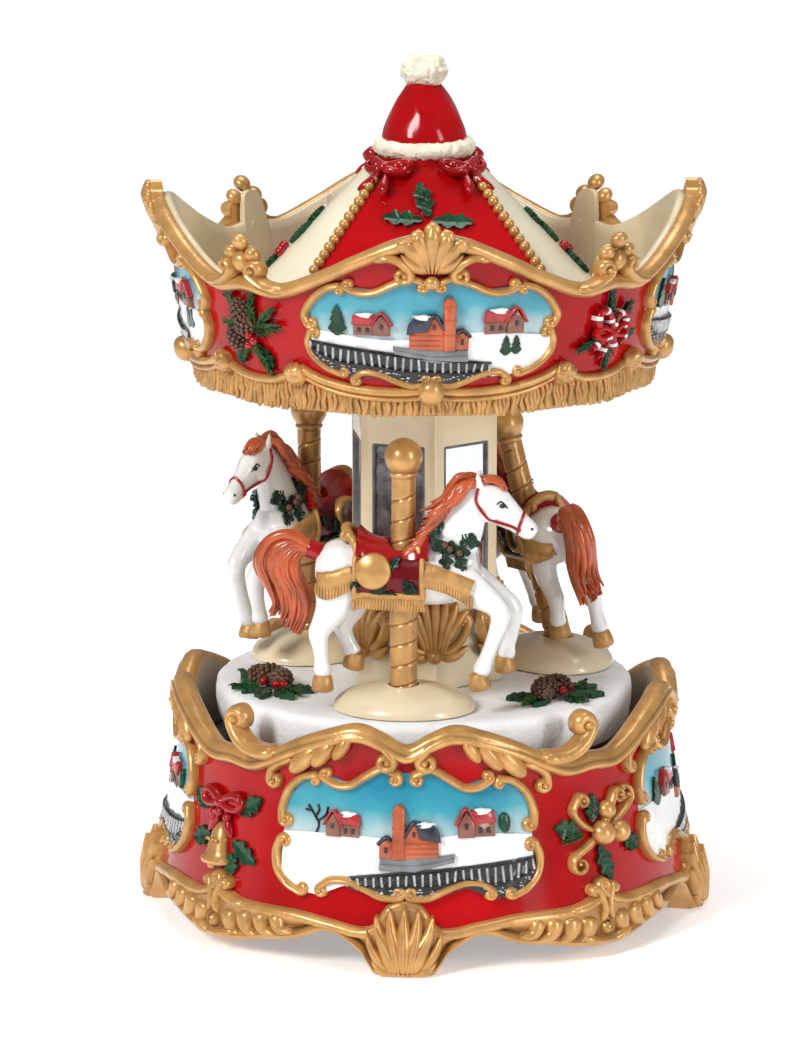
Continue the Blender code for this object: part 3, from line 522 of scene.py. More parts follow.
def piece(name, body, finish, parts, stands_for=(), smooth=50.0):
    """One object from closed parts, riding on a CAD body."""
    mesh = mesh_of(name, parts)
    mesh.polygons.foreach_set("use_smooth", [True] * len(mesh.polygons))
    mesh.set_sharp_from_angle(angle=math.radians(smooth))
    mesh.materials.append(finish)
    return settle(linked(name, mesh), body, stands_for)


def cluster(pattern, body, paints, place, groups):
    """One piece for each (label, paint name, flat parts), all laid on the same surface."""
    for label, paint_name, parts in groups:
        piece(
            pattern.format(label), body, paints[paint_name], laid(parts, place), smooth=70
        )


def settle(obj, body, stands_for=()):
    """Hands a finished object to its body and hides the CAD nodes it stands for."""
    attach(obj, body)
    if stands_for:
        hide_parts(*stands_for)
    return obj


def loops(rows, count, wrap_rows=False, wrap=True, first=0):
    """Faces between rows of count points; wrap joins each row's ends, wrap_rows the last row to the first."""
    faces = []
    for row in range(rows if wrap_rows else rows - 1):
        for k in range(count if wrap else count - 1):
            a, b = first + row * count, first + (row + 1) % rows * count
            faces.append((a + k, a + (k + 1) % count, b + (k + 1) % count, b + k))
    return faces


def between_poles(rows, count):
    """Faces of a solid: one first point, rows of count points and one last point."""
    last = rows * count + 1
    faces = loops(rows, count, first=1)
    faces += [(0, 1 + (k + 1) % count, 1 + k) for k in range(count)]
    faces += [(last, last - count + k, last - count + (k + 1) % count) for k in range(count)]
    return faces


def circle(count):
    """Cosine and sine of evenly spaced angles, once round."""
    return [(math.cos(a), math.sin(a)) for a in np.linspace(0, math.tau, count, endpoint=False)]


def ring(section, count):
    """A closed ring: section(angle) gives its (radius, z) outline there."""
    points = []
    for k in range(count):
        angle = 360.0 * k / count
        outline = section(angle)
        points += [at(radius, angle, z) for radius, z in outline]
    return np.array(points), loops(count, len(outline), wrap_rows=True)


def turned(profile, count, ripple=None):
    """A solid turned from a (radius, z) profile that ends on the axis; ripple(angle, z) adds to radius."""
    points = [(0, 0, profile[0][1])]
    for radius, z in profile[1:-1]:
        for k in range(count):
            angle = 360.0 * k / count
            points.append(at(radius + (ripple(angle, z) if ripple else 0), angle, z))
    points.append((0, 0, profile[-1][1]))
    return np.array(points), between_poles(len(profile) - 2, count)


def smooth_path(points, step=0.7):
    """Evenly spaced points on a Catmull-Rom curve through the given ones."""
    p = np.array(points, float)
    p = np.vstack((2 * p[0] - p[1], p, 2 * p[-1] - p[-2]))
    fine = []
    for a, b, c, d in zip(p, p[1:], p[2:], p[3:]):
        t = np.linspace(0, 1, 13)[:-1, None]
        fine.append(
            0.5 * (
                2 * b + (c - a) * t + (2 * a - 5 * b + 4 * c - d) * t**2 + (3 * b - a - 3 * c + d) * t**3
            )
        )
    fine = np.vstack((*fine, p[-2:-1]))
    travelled = np.concatenate(([0], np.cumsum(np.linalg.norm(np.diff(fine, axis=0), axis=1))))
    places = np.linspace(0, travelled[-1], max(3, int(travelled[-1] / step)))
    return np.stack([np.interp(places, travelled, fine[:, k]) for k in range(p.shape[1])], 1)


def rope(path, width, height, sides=7, sink=0.5, lift=0.0):
    """A half-round moulding on a flat path: half-width and height are numbers or one for each point."""
    path = np.asarray(path, float)
    run = np.gradient(path, axis=0)
    run /= np.maximum(np.linalg.norm(run, axis=1, keepdims=True), 1e-9)
    across = np.stack((-run[:, 1], run[:, 0]), 1)
    width, height = np.broadcast_to(width, len(path)), np.broadcast_to(height, len(path))
    around = [(math.cos(a), math.sin(a)) for a in np.linspace(0, math.pi, sides)]
    rows = []
    for centre, side, w, h in zip(path, across, width, height):
        rows += [(*(centre + side * w * c), lift + h * s) for c, s in around]
        rows += [(*(centre - side * w * 0.95), -sink), (*(centre + side * w * 0.95), -sink)]
    count = sides + 2
    faces = loops(len(path), count)
    faces += [tuple(range(count)), tuple(range(len(rows) - count, len(rows)))]
    return np.array(rows), faces


def button(s, t, radius, height, sides=14, rings=5, sink=0.5, lift=0.0):
    """A low dome on the surface."""
    points = []
    for row in range(rings):
        share = math.pi / 2 * row / rings
        reach, up = radius * math.cos(share), lift + height * math.sin(share)
        points += [(s + reach * x, t + reach * y, up) for x, y in circle(sides)]
    points = [(p[0], p[1], -sink) for p in points[:sides]] + points + [(s, t, lift + height)]
    faces = loops(rings + 1, sides) + [tuple(range(sides))]
    top = len(points) - 1
    faces += [(top, top - sides + k, top - sides + (k + 1) % sides) for k in range(sides)]
    return np.array(points), faces


def ball(centre, radii, sides=14, rings=9):
    """A closed ellipsoid."""
    radii = np.broadcast_to(radii, 3)
    points = [(0, 0, -1)]
    for row in range(1, rings):
        rise = -math.pi / 2 + math.pi * row / rings
        points += [(math.cos(rise) * x, math.cos(rise) * y, math.sin(rise)) for x, y in circle(sides)]
    points.append((0, 0, 1))
    return np.array(points) * radii + np.array(centre), between_poles(rings - 1, sides)


def rough(part, amount, scale, seed=0.0):
    """Pushes points about by smooth noise, as in modelled fur or bark."""
    points, faces = part
    moved = []
    for point in points:
        spot = Vector(point) * scale + Vector((seed, 0, 0))
        push = Vector([noise.noise(spot + Vector(offset)) for offset in ROUGH_OFFSETS])
        moved.append(tuple(Vector(point) + push * amount))
    return np.array(moved), faces


def tube(path, radii, sides=8):
    """A closed tube through 3-D points."""
    path = np.asarray(path, float)
    radii = np.broadcast_to(radii, len(path))
    run = np.gradient(path, axis=0)
    points, side = [], None
    for centre, heading, radius in zip(path, run, radii):
        heading = Vector(heading).normalized()
        side = heading.cross(Vector((0, 0, 1))) if side is None else side - heading * side.dot(heading)
        if side.length < 1e-6:
            side = heading.orthogonal()
        side.normalize()
        top = side.cross(heading)
        points += [tuple(Vector(centre) + side * radius * x + top * radius * y) for x, y in circle(sides)]
    faces = loops(len(path), sides) + [tuple(range(sides)), tuple(range(len(points) - sides, len(points)))]
    return np.array(points), faces


def sheet_solid(top, bottom):
    """A closed solid from two grids of the same shape, (rows, columns, 3)."""
    rows, columns = top.shape[:2]
    points = np.concatenate((top.reshape(-1, 3), bottom.reshape(-1, 3)))
    low = rows * columns
    faces = loops(rows, columns, wrap=False) + [
        tuple(low + corner for corner in face[::-1]) for face in loops(rows, columns, wrap=False)
    ]
    edge = [(0, c) for c in range(columns - 1)] + [(r, columns - 1) for r in range(rows - 1)]
    edge += [(rows - 1, c) for c in range(columns - 1, 0, -1)] + [(r, 0) for r in range(rows - 1, 0, -1)]
    ids = [r * columns + c for r, c in edge]
    faces += [(a, b, low + b, low + a) for a, b in zip(ids, ids[1:] + ids[:1])]
    return points, faces


def swell(count, power):
    """Widths for a lobe: thin at the foot, full in the middle, round at the tip."""
    t, low = np.linspace(0, 1, count), 0.12
    return low + (1 - low) * np.sin(math.pi * t**power) ** 0.8


def petal(points, width, height, power=0.7, lift=0.0):
    """A soft lobe along a path, widest in its middle."""
    path = smooth_path(points, 0.5)
    shape = swell(len(path), power)
    return rope(path, shape * width, (0.35 + 0.65 * shape) * height, lift=lift)


def spiral(path, radius, side):
    """The path carried on into a shrinking curl; side is 1 for counter-clockwise."""
    path = list(map(tuple, path))
    heading = math.atan2(path[-1][1] - path[-2][1], path[-1][0] - path[-2][0])
    x, y = path[-1]
    for k in range(CURL_STEPS):
        share = (k + 0.5) / CURL_STEPS
        step = radius * (1 - CURL_SHRINK * share) * math.tau * CURL_TURNS / CURL_STEPS
        bearing = heading + side * math.tau * CURL_TURNS * share
        x, y = x + step * math.cos(bearing), y + step * math.sin(bearing)
        path.append((x, y))
    return path


def scroll(points, width, height, start=None, end=None, lift=0.0, step=0.7):
    """A moulding whose ends roll up: start and end are (radius, side) of the curl, or None."""
    path = [tuple(p) for p in smooth_path(points, step)]
    first = last = 0
    if end:
        path = spiral(path, *end)
        last = CURL_STEPS
    if start:
        path = spiral(path[::-1], *start)[::-1]
        first = CURL_STEPS
    n = len(path)
    thin = np.ones(n)
    for k in range(first):
        thin[k] = 0.55 + 0.45 * k / first
    for k in range(last):
        thin[n - 1 - k] = 0.55 + 0.45 * k / last
    if not first:
        thin[:4] *= np.array((0.35, 0.7, 0.88, 0.96))
    if not last:
        thin[-4:] *= np.array((0.96, 0.88, 0.7, 0.35))
    parts = [rope(path, thin * width, thin * height, lift=lift)]
    for spot, curl in ((path[0], start), (path[-1], end)):
        if curl:
            parts.append(button(*spot, width * 0.75, height * 1.1, lift=lift))
    return parts


def cord(points, radius, sides, step=0.7):
    """A tube on a smooth curve through the points."""
    return tube(smooth_path(points, step), radius, sides)


def moulding(points, width, height, sides=7, step=0.7, lift=0.0):
    """A half-round moulding on a smooth curve through flat points."""
    return rope(smooth_path(points, step), width, height, sides, lift=lift)


def degrees_to_mm(points, mm_per_degree):
    """(degrees, height) points as flat (mm, mm) ones."""
    return [(a * mm_per_degree, z) for a, z in points]


def mirrored(parts):
    """The flat parts together with their mirror image."""
    return parts + [(np.array(p) * (-1, 1, 1), f) for p, f in parts]


def slab(outline, low, high, edge=0.25):
    """A flat shape raised from the surface with softened edges; outline runs counter-clockwise."""
    o = np.array(outline, float)
    before, after = np.roll(o, 1, 0), np.roll(o, -1, 0)
    along_edge = after - before
    inward = np.stack((-along_edge[:, 1], along_edge[:, 0]), 1)
    inward /= np.maximum(np.linalg.norm(inward, axis=1, keepdims=True), 1e-9)
    rows = [
        (o, low), (o, high - edge), (o + inward * edge * 0.35, high - edge * 0.3), (o + inward * edge, high)
    ]
    points = np.concatenate([np.column_stack((p, np.full(len(o), h))) for p, h in rows])
    n = len(o)
    return points, loops(len(rows), n) + [tuple(range(n))[::-1], tuple(range(3 * n, 4 * n))]


def patch(s_values, low_at, high_at, proud, rows=8, foot=-0.4):
    """A relief between two heights for each place along: proud(s, t) is its height over the surface."""
    top, bottom = [], []
    for row in range(rows + 3):
        share = min(max((row - 1) / rows, 0), 1)
        line = []
        for column, s in enumerate(s_values):
            low, high = low_at(s), high_at(s)
            t = low + (high - low) * share
            rim = row in (0, rows + 2) or column in (0, len(s_values) - 1)
            line.append((s, t, foot if rim else proud(s, t)))
        top.append(line)
        bottom.append([(s, t, foot - 0.3) for s, t, _ in line])
    return sheet_solid(np.array(top), np.array(bottom))


# ---------------------------------------------------------------- small reliefs, all shaped flat


def leaf(length, width, spikes=3, fold=0.5, lift=0.3):
    """A leaf along +s from the origin: a folded midrib, side veins and, with spikes, a holly edge."""
    rows, half = 25, 4
    top, bottom = [], []
    for i in range(rows):
        t = i / (rows - 1)
        body = math.sin(math.pi * min(1.0, 0.03 + 0.97 * t)) ** 0.6
        edge = 0.58 + 0.42 * abs(math.cos(math.pi * spikes * t)) ** 1.6 if spikes else 1.0
        w = max(0.06, width * body * edge)
        line, under = [], []
        for j in range(-half, half + 1):
            v = j / half
            vein = 0.10 * math.cos(math.tau * (6 * t - 0.8 * abs(v)))
            height = lift + fold * abs(v) ** 0.8 * (0.4 + 0.6 * body) + vein * body
            line.append((length * t + 0.25 * width * abs(v) * (0.5 - t), v * w, height))
            under.append((line[-1][0], line[-1][1] * 0.96, min(-0.3, height - 0.9)))
        top.append(line)
        bottom.append(under)
    return [sheet_solid(np.array(top), np.array(bottom))]


def sprig(length, needles=26, reach=2.6, seed=1):
    """A pine twig along +s with thin needles on both sides."""
    draw, lift = random.Random(seed), 0.6
    stem = smooth_path(((0, 0), (length * 0.5, 0.3), (length, 0)), 0.6)
    parts = [
        rope(
            stem, np.linspace(0.34, 0.16, len(stem)), np.linspace(0.6, 0.35, len(stem)), 5, lift=lift * 0.4
        )
    ]
    for k in range(needles):
        share = (k + 0.5) / needles
        side = 1 if k % 2 else -1
        start = np.array((length * share * 0.96, 0.0, lift * 0.5))
        angle = side * math.radians(draw.uniform(28, 62) * (1 - 0.55 * share))
        size = reach * draw.uniform(0.7, 1.1) * (1 - 0.35 * share)
        tip = start + np.array((math.cos(angle) * size, math.sin(angle) * size, draw.uniform(0.1, 1.0)))
        middle = (start + tip) / 2 + np.array((0, 0, 0.35))
        parts.append(tube((start, middle, tip), (0.20, 0.22, 0.07), 5))
    return parts


def pine_cone(length, radius):
    """A cone lying along +s: rows of scales round a core."""
    parts = [ball((0, 0, 0), (length / 2, radius * 0.8, radius * 0.8), 10, 8)]
    for row in range(7):
        t = -0.86 + 1.72 * row / 6
        girth = math.sqrt(max(0.05, 1 - t * t)) * radius
        for k in range(8):
            a = math.tau * (k + 0.5 * (row % 2)) / 8
            if math.sin(a) < -0.75:
                continue
            centre = (t * length / 2, girth * math.cos(a) * 0.92, girth * math.sin(a) * 0.92)
            parts.append(ball(centre, (radius * 0.24, radius * 0.30, radius * 0.26), 8, 5))
    return parts


def bow(size=1.0):
    """A tied bow: two loops, a knot and two hanging tails."""
    loop = ((0, 0), (2.4, 1.5), (5.0, 2.0), (6.3, 0.6), (5.2, -0.9), (2.6, -0.9), (0, 0))
    parts = mirrored([
        moulding(loop, 0.95, 1.5, step=0.5, lift=0.3),
        slab(((0.6, 0), (2.8, -0.8), (5.0, -0.7), (5.9, 0.5), (4.8, 1.6), (2.6, 1.2)), -0.4, 0.7)
    ])
    parts.append(ball((0, 0, 0.9), (1.5, 1.35, 1.3), 12, 8))
    parts += mirrored([petal(((0.4, -0.6), (1.6, -2.8), (2.3, -5.0), (4.0, -7.4)), 1.15, 1.0, power=1.6)])
    return shifted(parts, scale=size)


def bell(size=1.0):
    """Half of a hand bell standing on the wall, mouth down."""
    profile = (
        (-4.3, 0.0), (-4.1, 4.1), (-3.4, 4.3), (-2.9, 3.5), (-1.5, 2.9), (0.6, 2.5), (2.4, 2.1), (3.6, 1.3),
        (4.3, 0.5), (4.5, 0.0)
    )
    points = [(0, profile[0][0], 0)]
    sides = 18
    for t, r in profile[1:-1]:
        points += [(r * x, t, max(-0.4, r * 0.75 * y)) for x, y in circle(sides)]
    points.append((0, profile[-1][0], 0))
    faces = between_poles(len(profile) - 2, sides)
    bead = [ball((math.cos(a) * 1.5, 1.0, 2.1 + 0.3 * math.sin(a)), 0.42, 8, 6) for a in (0.4, 1.2, 1.9, 2.7)]
    return shifted([(np.array(points), faces), ball((0, -4.6, 1.2), 1.1, 10, 7), *bead], scale=size)


# ---------------------------------------------------------------- pictures


def edges(outline):
    """Top and bottom of a picture for each angle, as functions of mm along the wall."""
    tops = [(a, top) for a, top, _ in outline]
    bottoms = [(a, bottom) for a, _, bottom in outline]
    return tops, bottoms


def snow_patch(s, t, half_width, half_height, top):
    """An uneven cap of snow lying on a roof."""
    outline = []
    for a in np.linspace(0, math.tau, 20, endpoint=False):
        swing = 1 + 0.2 * math.sin(3 * a + 0.8) + 0.1 * math.sin(5 * a)
        outline.append((s + half_width * swing * math.cos(a), t + half_height * swing * math.sin(a)))
    return slab(outline, 1.0, top, 0.3)


def house(s, t, width, height, wall_paint, roof_paint, flip=False):
    """Walls, a gable and a long roof with a snow cap, as lists of flat parts for each paint."""
    w, h = width, height
    back = ((0, 0), (w, 0), (w, h * 0.52), (w * 0.45, h * 0.52), (w * 0.22, h * 0.9), (0, h * 0.52))
    gable = ((0.02 * w, 0), (0.44 * w, 0), (0.44 * w, h * 0.5), (0.22 * w, h * 0.86), (0.02 * w, h * 0.5))
    slope = ((w * 0.42, h * 0.46), (w * 1.04, h * 0.46), (w * 0.98, h * 0.88), (w * 0.28, h * 0.88))
    verge = ((-0.06 * w, h * 0.42), (w * 0.22, h * 0.98), (w * 0.5, h * 0.42))
    walls = [slab(back, -0.3, 1.5), slab(gable, 0.5, 1.9)]
    roofs = [slab(slope, 0.2, 1.9), moulding(verge, 0.32, 0.5, step=0.3, lift=1.7)]
    panes = []
    for x, y, z in ((w * 0.17, h * 0.3, 2.1), (w * 0.56, h * 0.14, 1.75), (w * 0.78, h * 0.14, 1.75)):
        pane = ((x, y), (x + w * 0.09, y), (x + w * 0.09, y + h * 0.2), (x, y + h * 0.2))
        panes.append(slab(pane, 1.2, z, 0.1))
    caps = [snow_patch(w * 0.66, h * 0.88, w * 0.2, h * 0.1, 2.3)]
    whole = {wall_paint: walls, roof_paint: roofs, "black": panes, "snow_smooth": caps}
    start = s + (w if flip else 0)
    return {paint_name: shifted(parts, start, t, flip=flip) for paint_name, parts in whole.items()}


def fir(s, t, height):
    """A small fir tree in flat relief."""
    tiers = [(s, t + height)]
    for k in range(3):
        y, w = t + height * (0.72 - 0.26 * k), height * (0.16 + 0.07 * k)
        tiers = [(s - w, y)] + tiers + [(s + w, y)]
        tiers = [(s - w * 0.6, y + 0.1)] + tiers + [(s + w * 0.6, y + 0.1)] if k < 2 else tiers
    tiers = [(s - height * 0.06, t)] + tiers + [(s + height * 0.06, t)]
    return slab(tiers, -0.3, 1.3, 0.12)


def bare_tree(s, t, height):
    """A leafless tree in flat relief."""
    twigs = [
        ((0, 0), (0.1, 0.35), (-0.05, 0.6), (-0.35, 1.0)), ((0.05, 0.45), (0.35, 0.7), (0.42, 1.0)),
        ((-0.05, 0.6), (0.08, 0.85), (0.02, 1.05)), ((-0.2, 0.8), (-0.45, 0.82)), ((0.3, 0.66), (0.55, 0.8))
    ]
    return [
        moulding([(s + x * height, t + y * height) for x, y in twig], 0.26, 0.5, 5, 0.3, 0.6)
        for twig in twigs
    ]


def station(s, t, flip=False):
    """Red-brown station: a tall round-topped tower, a gabled hall, a small annex and a long low platform."""
    tower = [(-1.15, 0), (1.15, 0), (1.15, 9.0)] + [
        (1.15 * math.cos(a), 9.0 + 1.3 * math.sin(a)) for a in (0.6, 1.2, 1.9, 2.5)
    ] + [(-1.15, 9.0)]
    hall = ((0.8, 0), (7.4, 0), (7.4, 3.6), (4.6, 4.6), (2.8, 6.6), (0.8, 4.0))
    annex = ((-3.6, 0), (-1.0, 0), (-1.0, 3.0), (-2.4, 3.6), (-3.6, 2.6))
    walls = [slab(tower, -0.3, 1.9, 0.4), slab(hall, -0.3, 1.5), slab(annex, -0.3, 1.3)]
    walls += [moulding(((-1.2, y), (1.2, y)), 0.2, 0.3, 5, 0.5, 1.7) for y in (3.2, 6.0, 8.6)]
    walls += [moulding(((1.6, y), (7.2, y + 0.1)), 0.14, 0.25, 5, 0.5, 1.4) for y in (1.0, 2.0, 3.0)]
    roofs = [slab(((3.9, 3.9), (7.9, 3.2), (7.6, 5.0), (6.4, 6.8), (3.1, 7.2)), 0.5, 1.9)]
    roofs.append(moulding(((0.9, 4.1), (2.9, 7.0), (4.2, 4.2)), 0.36, 0.5, step=0.4, lift=1.4))
    roofs.append(moulding(((-3.9, 2.6), (-2.4, 4.0), (-1.0, 3.0)), 0.34, 0.5, step=0.4, lift=1.1))
    cap = [snow_patch(5.0, 6.6, 1.5, 0.5, 2.2)]
    quay = [
        slab(((-3.6, -2.2), (3.0, -2.4), (10.2, -0.6), (10.4, 0.9), (4, 0.2), (-3.4, 0.1)), -0.3, 1.7, 0.3)
    ]
    quay.append(moulding(((-3.4, -0.9), (3.2, -1.0), (10.2, 0.3)), 0.12, 0.25, 5, 0.5, 1.6))
    panes = []
    for x, y in ((2.6, 4.3), (-2.6, 1.2), (-0.2, 4.2), (-0.2, 6.9)):
        panes.append(slab(((x, y), (x + 0.5, y), (x + 0.5, y + 1.0), (x, y + 1.0)), 1.1, 1.75, 0.1))
    whole = {"station": walls, "navy": roofs, "snow_smooth": cap, "grey": quay, "black": panes}
    return {paint_name: shifted(parts, s, t, scale=1.28, flip=flip) for paint_name, parts in whole.items()}


def track(low_at, high_at, s_values, seed):
    """Black ballast with pale cross-ties and two rails; its edges are functions of s."""
    draw = random.Random(seed)
    ballast = patch(
        s_values, low_at, high_at, lambda s, t: 1.5 + 0.5 * noise.noise((s * 1.1, t * 1.1, seed)), rows=7,
        foot=-0.3
    )
    ties = []
    for s in np.arange(s_values[0] + 1.2, s_values[-1] - 0.5, 1.9):
        reach = high_at(s) - low_at(s)
        if reach < 1.2:
            continue
        lean = draw.uniform(-0.2, 0.2)
        path = [(s + lean * k, high_at(s) - reach * share) for k, share in ((-1, 0.12), (0, 0.36), (1, 0.60))]
        ties.append(moulding(path, 0.34, 0.45, 5, 0.3, 1.6))
        for _ in range(3):
            x, share = s + draw.uniform(-0.9, 0.9), draw.uniform(0.68, 0.92)
            ties.append(ball((x, high_at(s) - reach * share, 1.6), (draw.uniform(0.2, 0.6), 0.22, 0.4), 7, 5))
    rails = []
    for share in (0.42, 0.90):
        path = [(s, low_at(s) + share * (high_at(s) - low_at(s))) for s in s_values[2:-2:3]]
        rails.append(moulding(path, 0.2, 0.45, 5, 0.6, 1.7))
    return {"black": [ballast, *rails], "silver": ties}


def snowfield(s_values, low_at, hills, seed):
    """Gently uneven snow below the hills."""
    return patch(
        s_values, low_at, hills, lambda s, t: 1.0 + 0.45 * noise.noise((s * 0.35, t * 0.5, seed)), rows=12,
        foot=-0.3
    )


def collect(*groups):
    """Joins dictionaries of parts by paint name."""
    paints = {}
    for group in groups:
        for paint_name, parts in group.items():
            paints.setdefault(paint_name, []).extend(parts)
    return paints


def picture(where, outline, mm_per_degree, horizon, rail_path, extras):
    """A cartouche's painted relief, as flat parts for each paint: sky, snow, track and what stands in it."""
    tops, bottoms = edges(outline)
    width = outline[-1][0] * mm_per_degree
    s_values = np.linspace(-width, width, 73)

    def top_at(s):
        return np.interp(abs(s) / mm_per_degree, *zip(*tops)) + 0.5

    def bottom_at(s):
        return np.interp(abs(s) / mm_per_degree, *zip(*bottoms)) - 0.5

    def hills(s):
        return min(top_at(s), horizon(s))

    rail_s = [s for s in s_values if rail_path(s) is not None]

    def rail_high(s):
        return min(top_at(s), rail_path(s)[1])

    def rail_low(s):
        return max(bottom_at(s), rail_path(s)[0])

    sky_parts = [patch(s_values, bottom_at, top_at, lambda s, t: 0.45, rows=14, foot=-0.3)]
    snow_parts = [snowfield(s_values, bottom_at, hills, where)]
    return collect(
        {"sky": sky_parts, "snow_smooth": snow_parts}, track(rail_low, rail_high, rail_s, where), *extras
    )


def base_scene(side):
    """Two versions: the front and back have the station, the sides only houses and firs."""
    mm = BASE_MM

    def horizon(s):
        return 32.6 + 1.3 * math.cos((s - 17) / 9.0) if s > 6 else 32.4 + 0.9 * math.cos((s + 16) / 10.0)

    def rail_path(s):
        if s < -14.5:
            return None
        share = (s + 14.5) / 45.0
        return 17.5, 23.0 + 4.6 * share**0.7

    extras = [
        house(-19.6, 32.8, 8.4, 6.4, "house", "roof_red"),
        house(12.6, 33.2, 9.0, 7.2, "house", "roof_red")
    ]
    bush = [(24.2 + 1.4 * x, 36.2 + 2.5 * y) for x, y in circle(16)]
    extras.append({"green": [slab(bush, -0.2, 1.7, 0.5)]})
    if side % 180 == 0:
        extras += [station(-1.6, 28.2), {"black": bare_tree(-22.4, 32.8, 6.8)}]
    else:
        extras += [
            {"green": [fir(-23.0, 31.6, 7.0), fir(0.5, 30.5, 8.0), fir(4.2, 29.6, 6.4)]},
            house(-8.0, 29.5, 7.0, 7.0, "station", "navy")
        ]
    return picture(3.0 + side * 0.01, BASE_PICTURE, mm, horizon, rail_path, extras)


def crown_scene(side):
    """The winter scene in one canopy cartouche."""

    def horizon(s):
        return 156.0 + 0.9 * math.cos((s - 12) / 7.0)

    def rail_path(s):
        if s > 15.5:
            return None
        share = (s + 30.0) / 45.0
        return 143.5, 154.4 - 5.0 * share

    extras = [
        house(-18.6, 156.2, 8.8, 5.8, "house", "roof_red", flip=True),
        house(12.6, 156.4, 9.6, 6.6, "house", "roof_red", flip=True)
    ]
    extras.append({"green": [fir(-22.6, 156.0, 7.4), fir(18.0, 151.0, 5.0), fir(20.6, 151.2, 4.6)]})
    if side % 180 == 0:
        extras.append(station(4.2, 152.6, flip=True))
    else:
        extras += [
            {"green": [fir(3.0, 154.0, 8.0), fir(7.0, 153.0, 6.4)]},
            house(-6.0, 153.6, 7.6, 6.6, "station", "navy")
        ]
    return picture(9.0 + side * 0.01, CROWN_PICTURE, CROWN_MM, horizon, rail_path, extras)


def frame_scrolls(width, height, mm, top, corner, lower, bottom, curls):
    """A rocaille picture frame: four mouldings with rolled ends on the right half, then mirrored."""
    small, big = curls
    right = []
    for points, start, end in (
        (top, (big, 1), (small, 1)),
        (corner, (small, 1), (big, -1)),
        (lower, (big, 1), (small, -1)),
        (bottom, (big, -1), (small, -1)),
    ):
        right += scroll(degrees_to_mm(points, mm), width, height, start, end, lift=0.5, step=0.5)
    return mirrored(right)


def base_frame():
    """The gold scroll frame round a base cartouche."""
    return frame_scrolls(
        1.05, 1.9, BASE_MM,
        top=((2.2, 48.6), (5.5, 49.8), (9.3, 47.6), (12.9, 45.2), (16.2, 45.2), (18.8, 46.6)),
        corner=((21.4, 46.9), (24.2, 46.2), (27.4, 43.0), (29.0, 38.6), (28.9, 35.4)),
        lower=((29.0, 30.4), (29.8, 27.4), (29.0, 23.2), (26.4, 20.0), (23.2, 18.4)),
        bottom=((1.6, 18.6), (5.0, 18.8), (8.6, 20.6), (12.6, 22.2), (16.2, 22.0), (18.6, 20.2)),
        curls=(1.1, 1.35),
    )


def crown_frame():
    """The gold scroll frame round a canopy cartouche."""
    return frame_scrolls(
        0.95, 1.8, CROWN_MM,
        top=((1.8, 169.4), (4.6, 170.3), (8.6, 168.8), (12.6, 166.8), (16.4, 166.6), (18.6, 167.6)),
        corner=((20.8, 168.0), (23.4, 167.2), (26.8, 164.4), (29.2, 160.6), (28.6, 158.2)),
        lower=((28.0, 156.2), (28.8, 153.6), (27.6, 150.2), (24.4, 147.4), (20.8, 146.0)),
        bottom=((1.4, 144.0), (4.6, 143.6), (8.6, 145.0), (12.4, 146.6), (15.8, 146.8), (18.0, 145.4)),
        curls=(0.95, 1.15),
    )


def hang_pictures(name, body, scene, frame_parts, place_at, paints, stands_for):
    """Puts the picture and its frame on each side; every paint is its own piece."""
    for side, side_name in zip(SIDES, ("front", "right", "back", "left")):
        place = place_at(side)
        whole = scene(side)
        for paint_name, parts in sorted(whole.items()):
            stands = (stands_for.format(side_name),) if paint_name == "sky" else ()
            piece(
                f"{name}_{side_name}_{paint_name}", body, paints[paint_name], laid(parts, place),
                stands
            )
        piece(f"{name}_{side_name}_frame", body, paints["gold"], laid(frame_parts, place))


# ---------------------------------------------------------------- base


def base_walls(paints):
    """The red wall, its darker inside and the deck edge below the platform."""

    def outer(angle):
        top = along(RIM_TOP, angle) - 1.2
        heights = [top - (top - 10.0) * (k / 13) for k in range(14)]
        skin = [(float(base_radius(z)), z) for z in heights]
        return skin + [(62.5, 10.0), (59.0, 24.0), (58.2, top)]

    def inner(angle):
        top = along(RIM_TOP, angle) - 1.6
        return [(58.3, top), (58.35, 46.0), (58.35, 39.6), (57.9, 39.6), (57.75, 46.0), (57.75, top - 1.0)]

    piece("base_wall", "base", paints["red"], [ring(outer, RING_STEPS)], ("base_shell",), 30)
    piece("base_inner_wall", "base", paints["inner"], [ring(inner, RING_STEPS)])


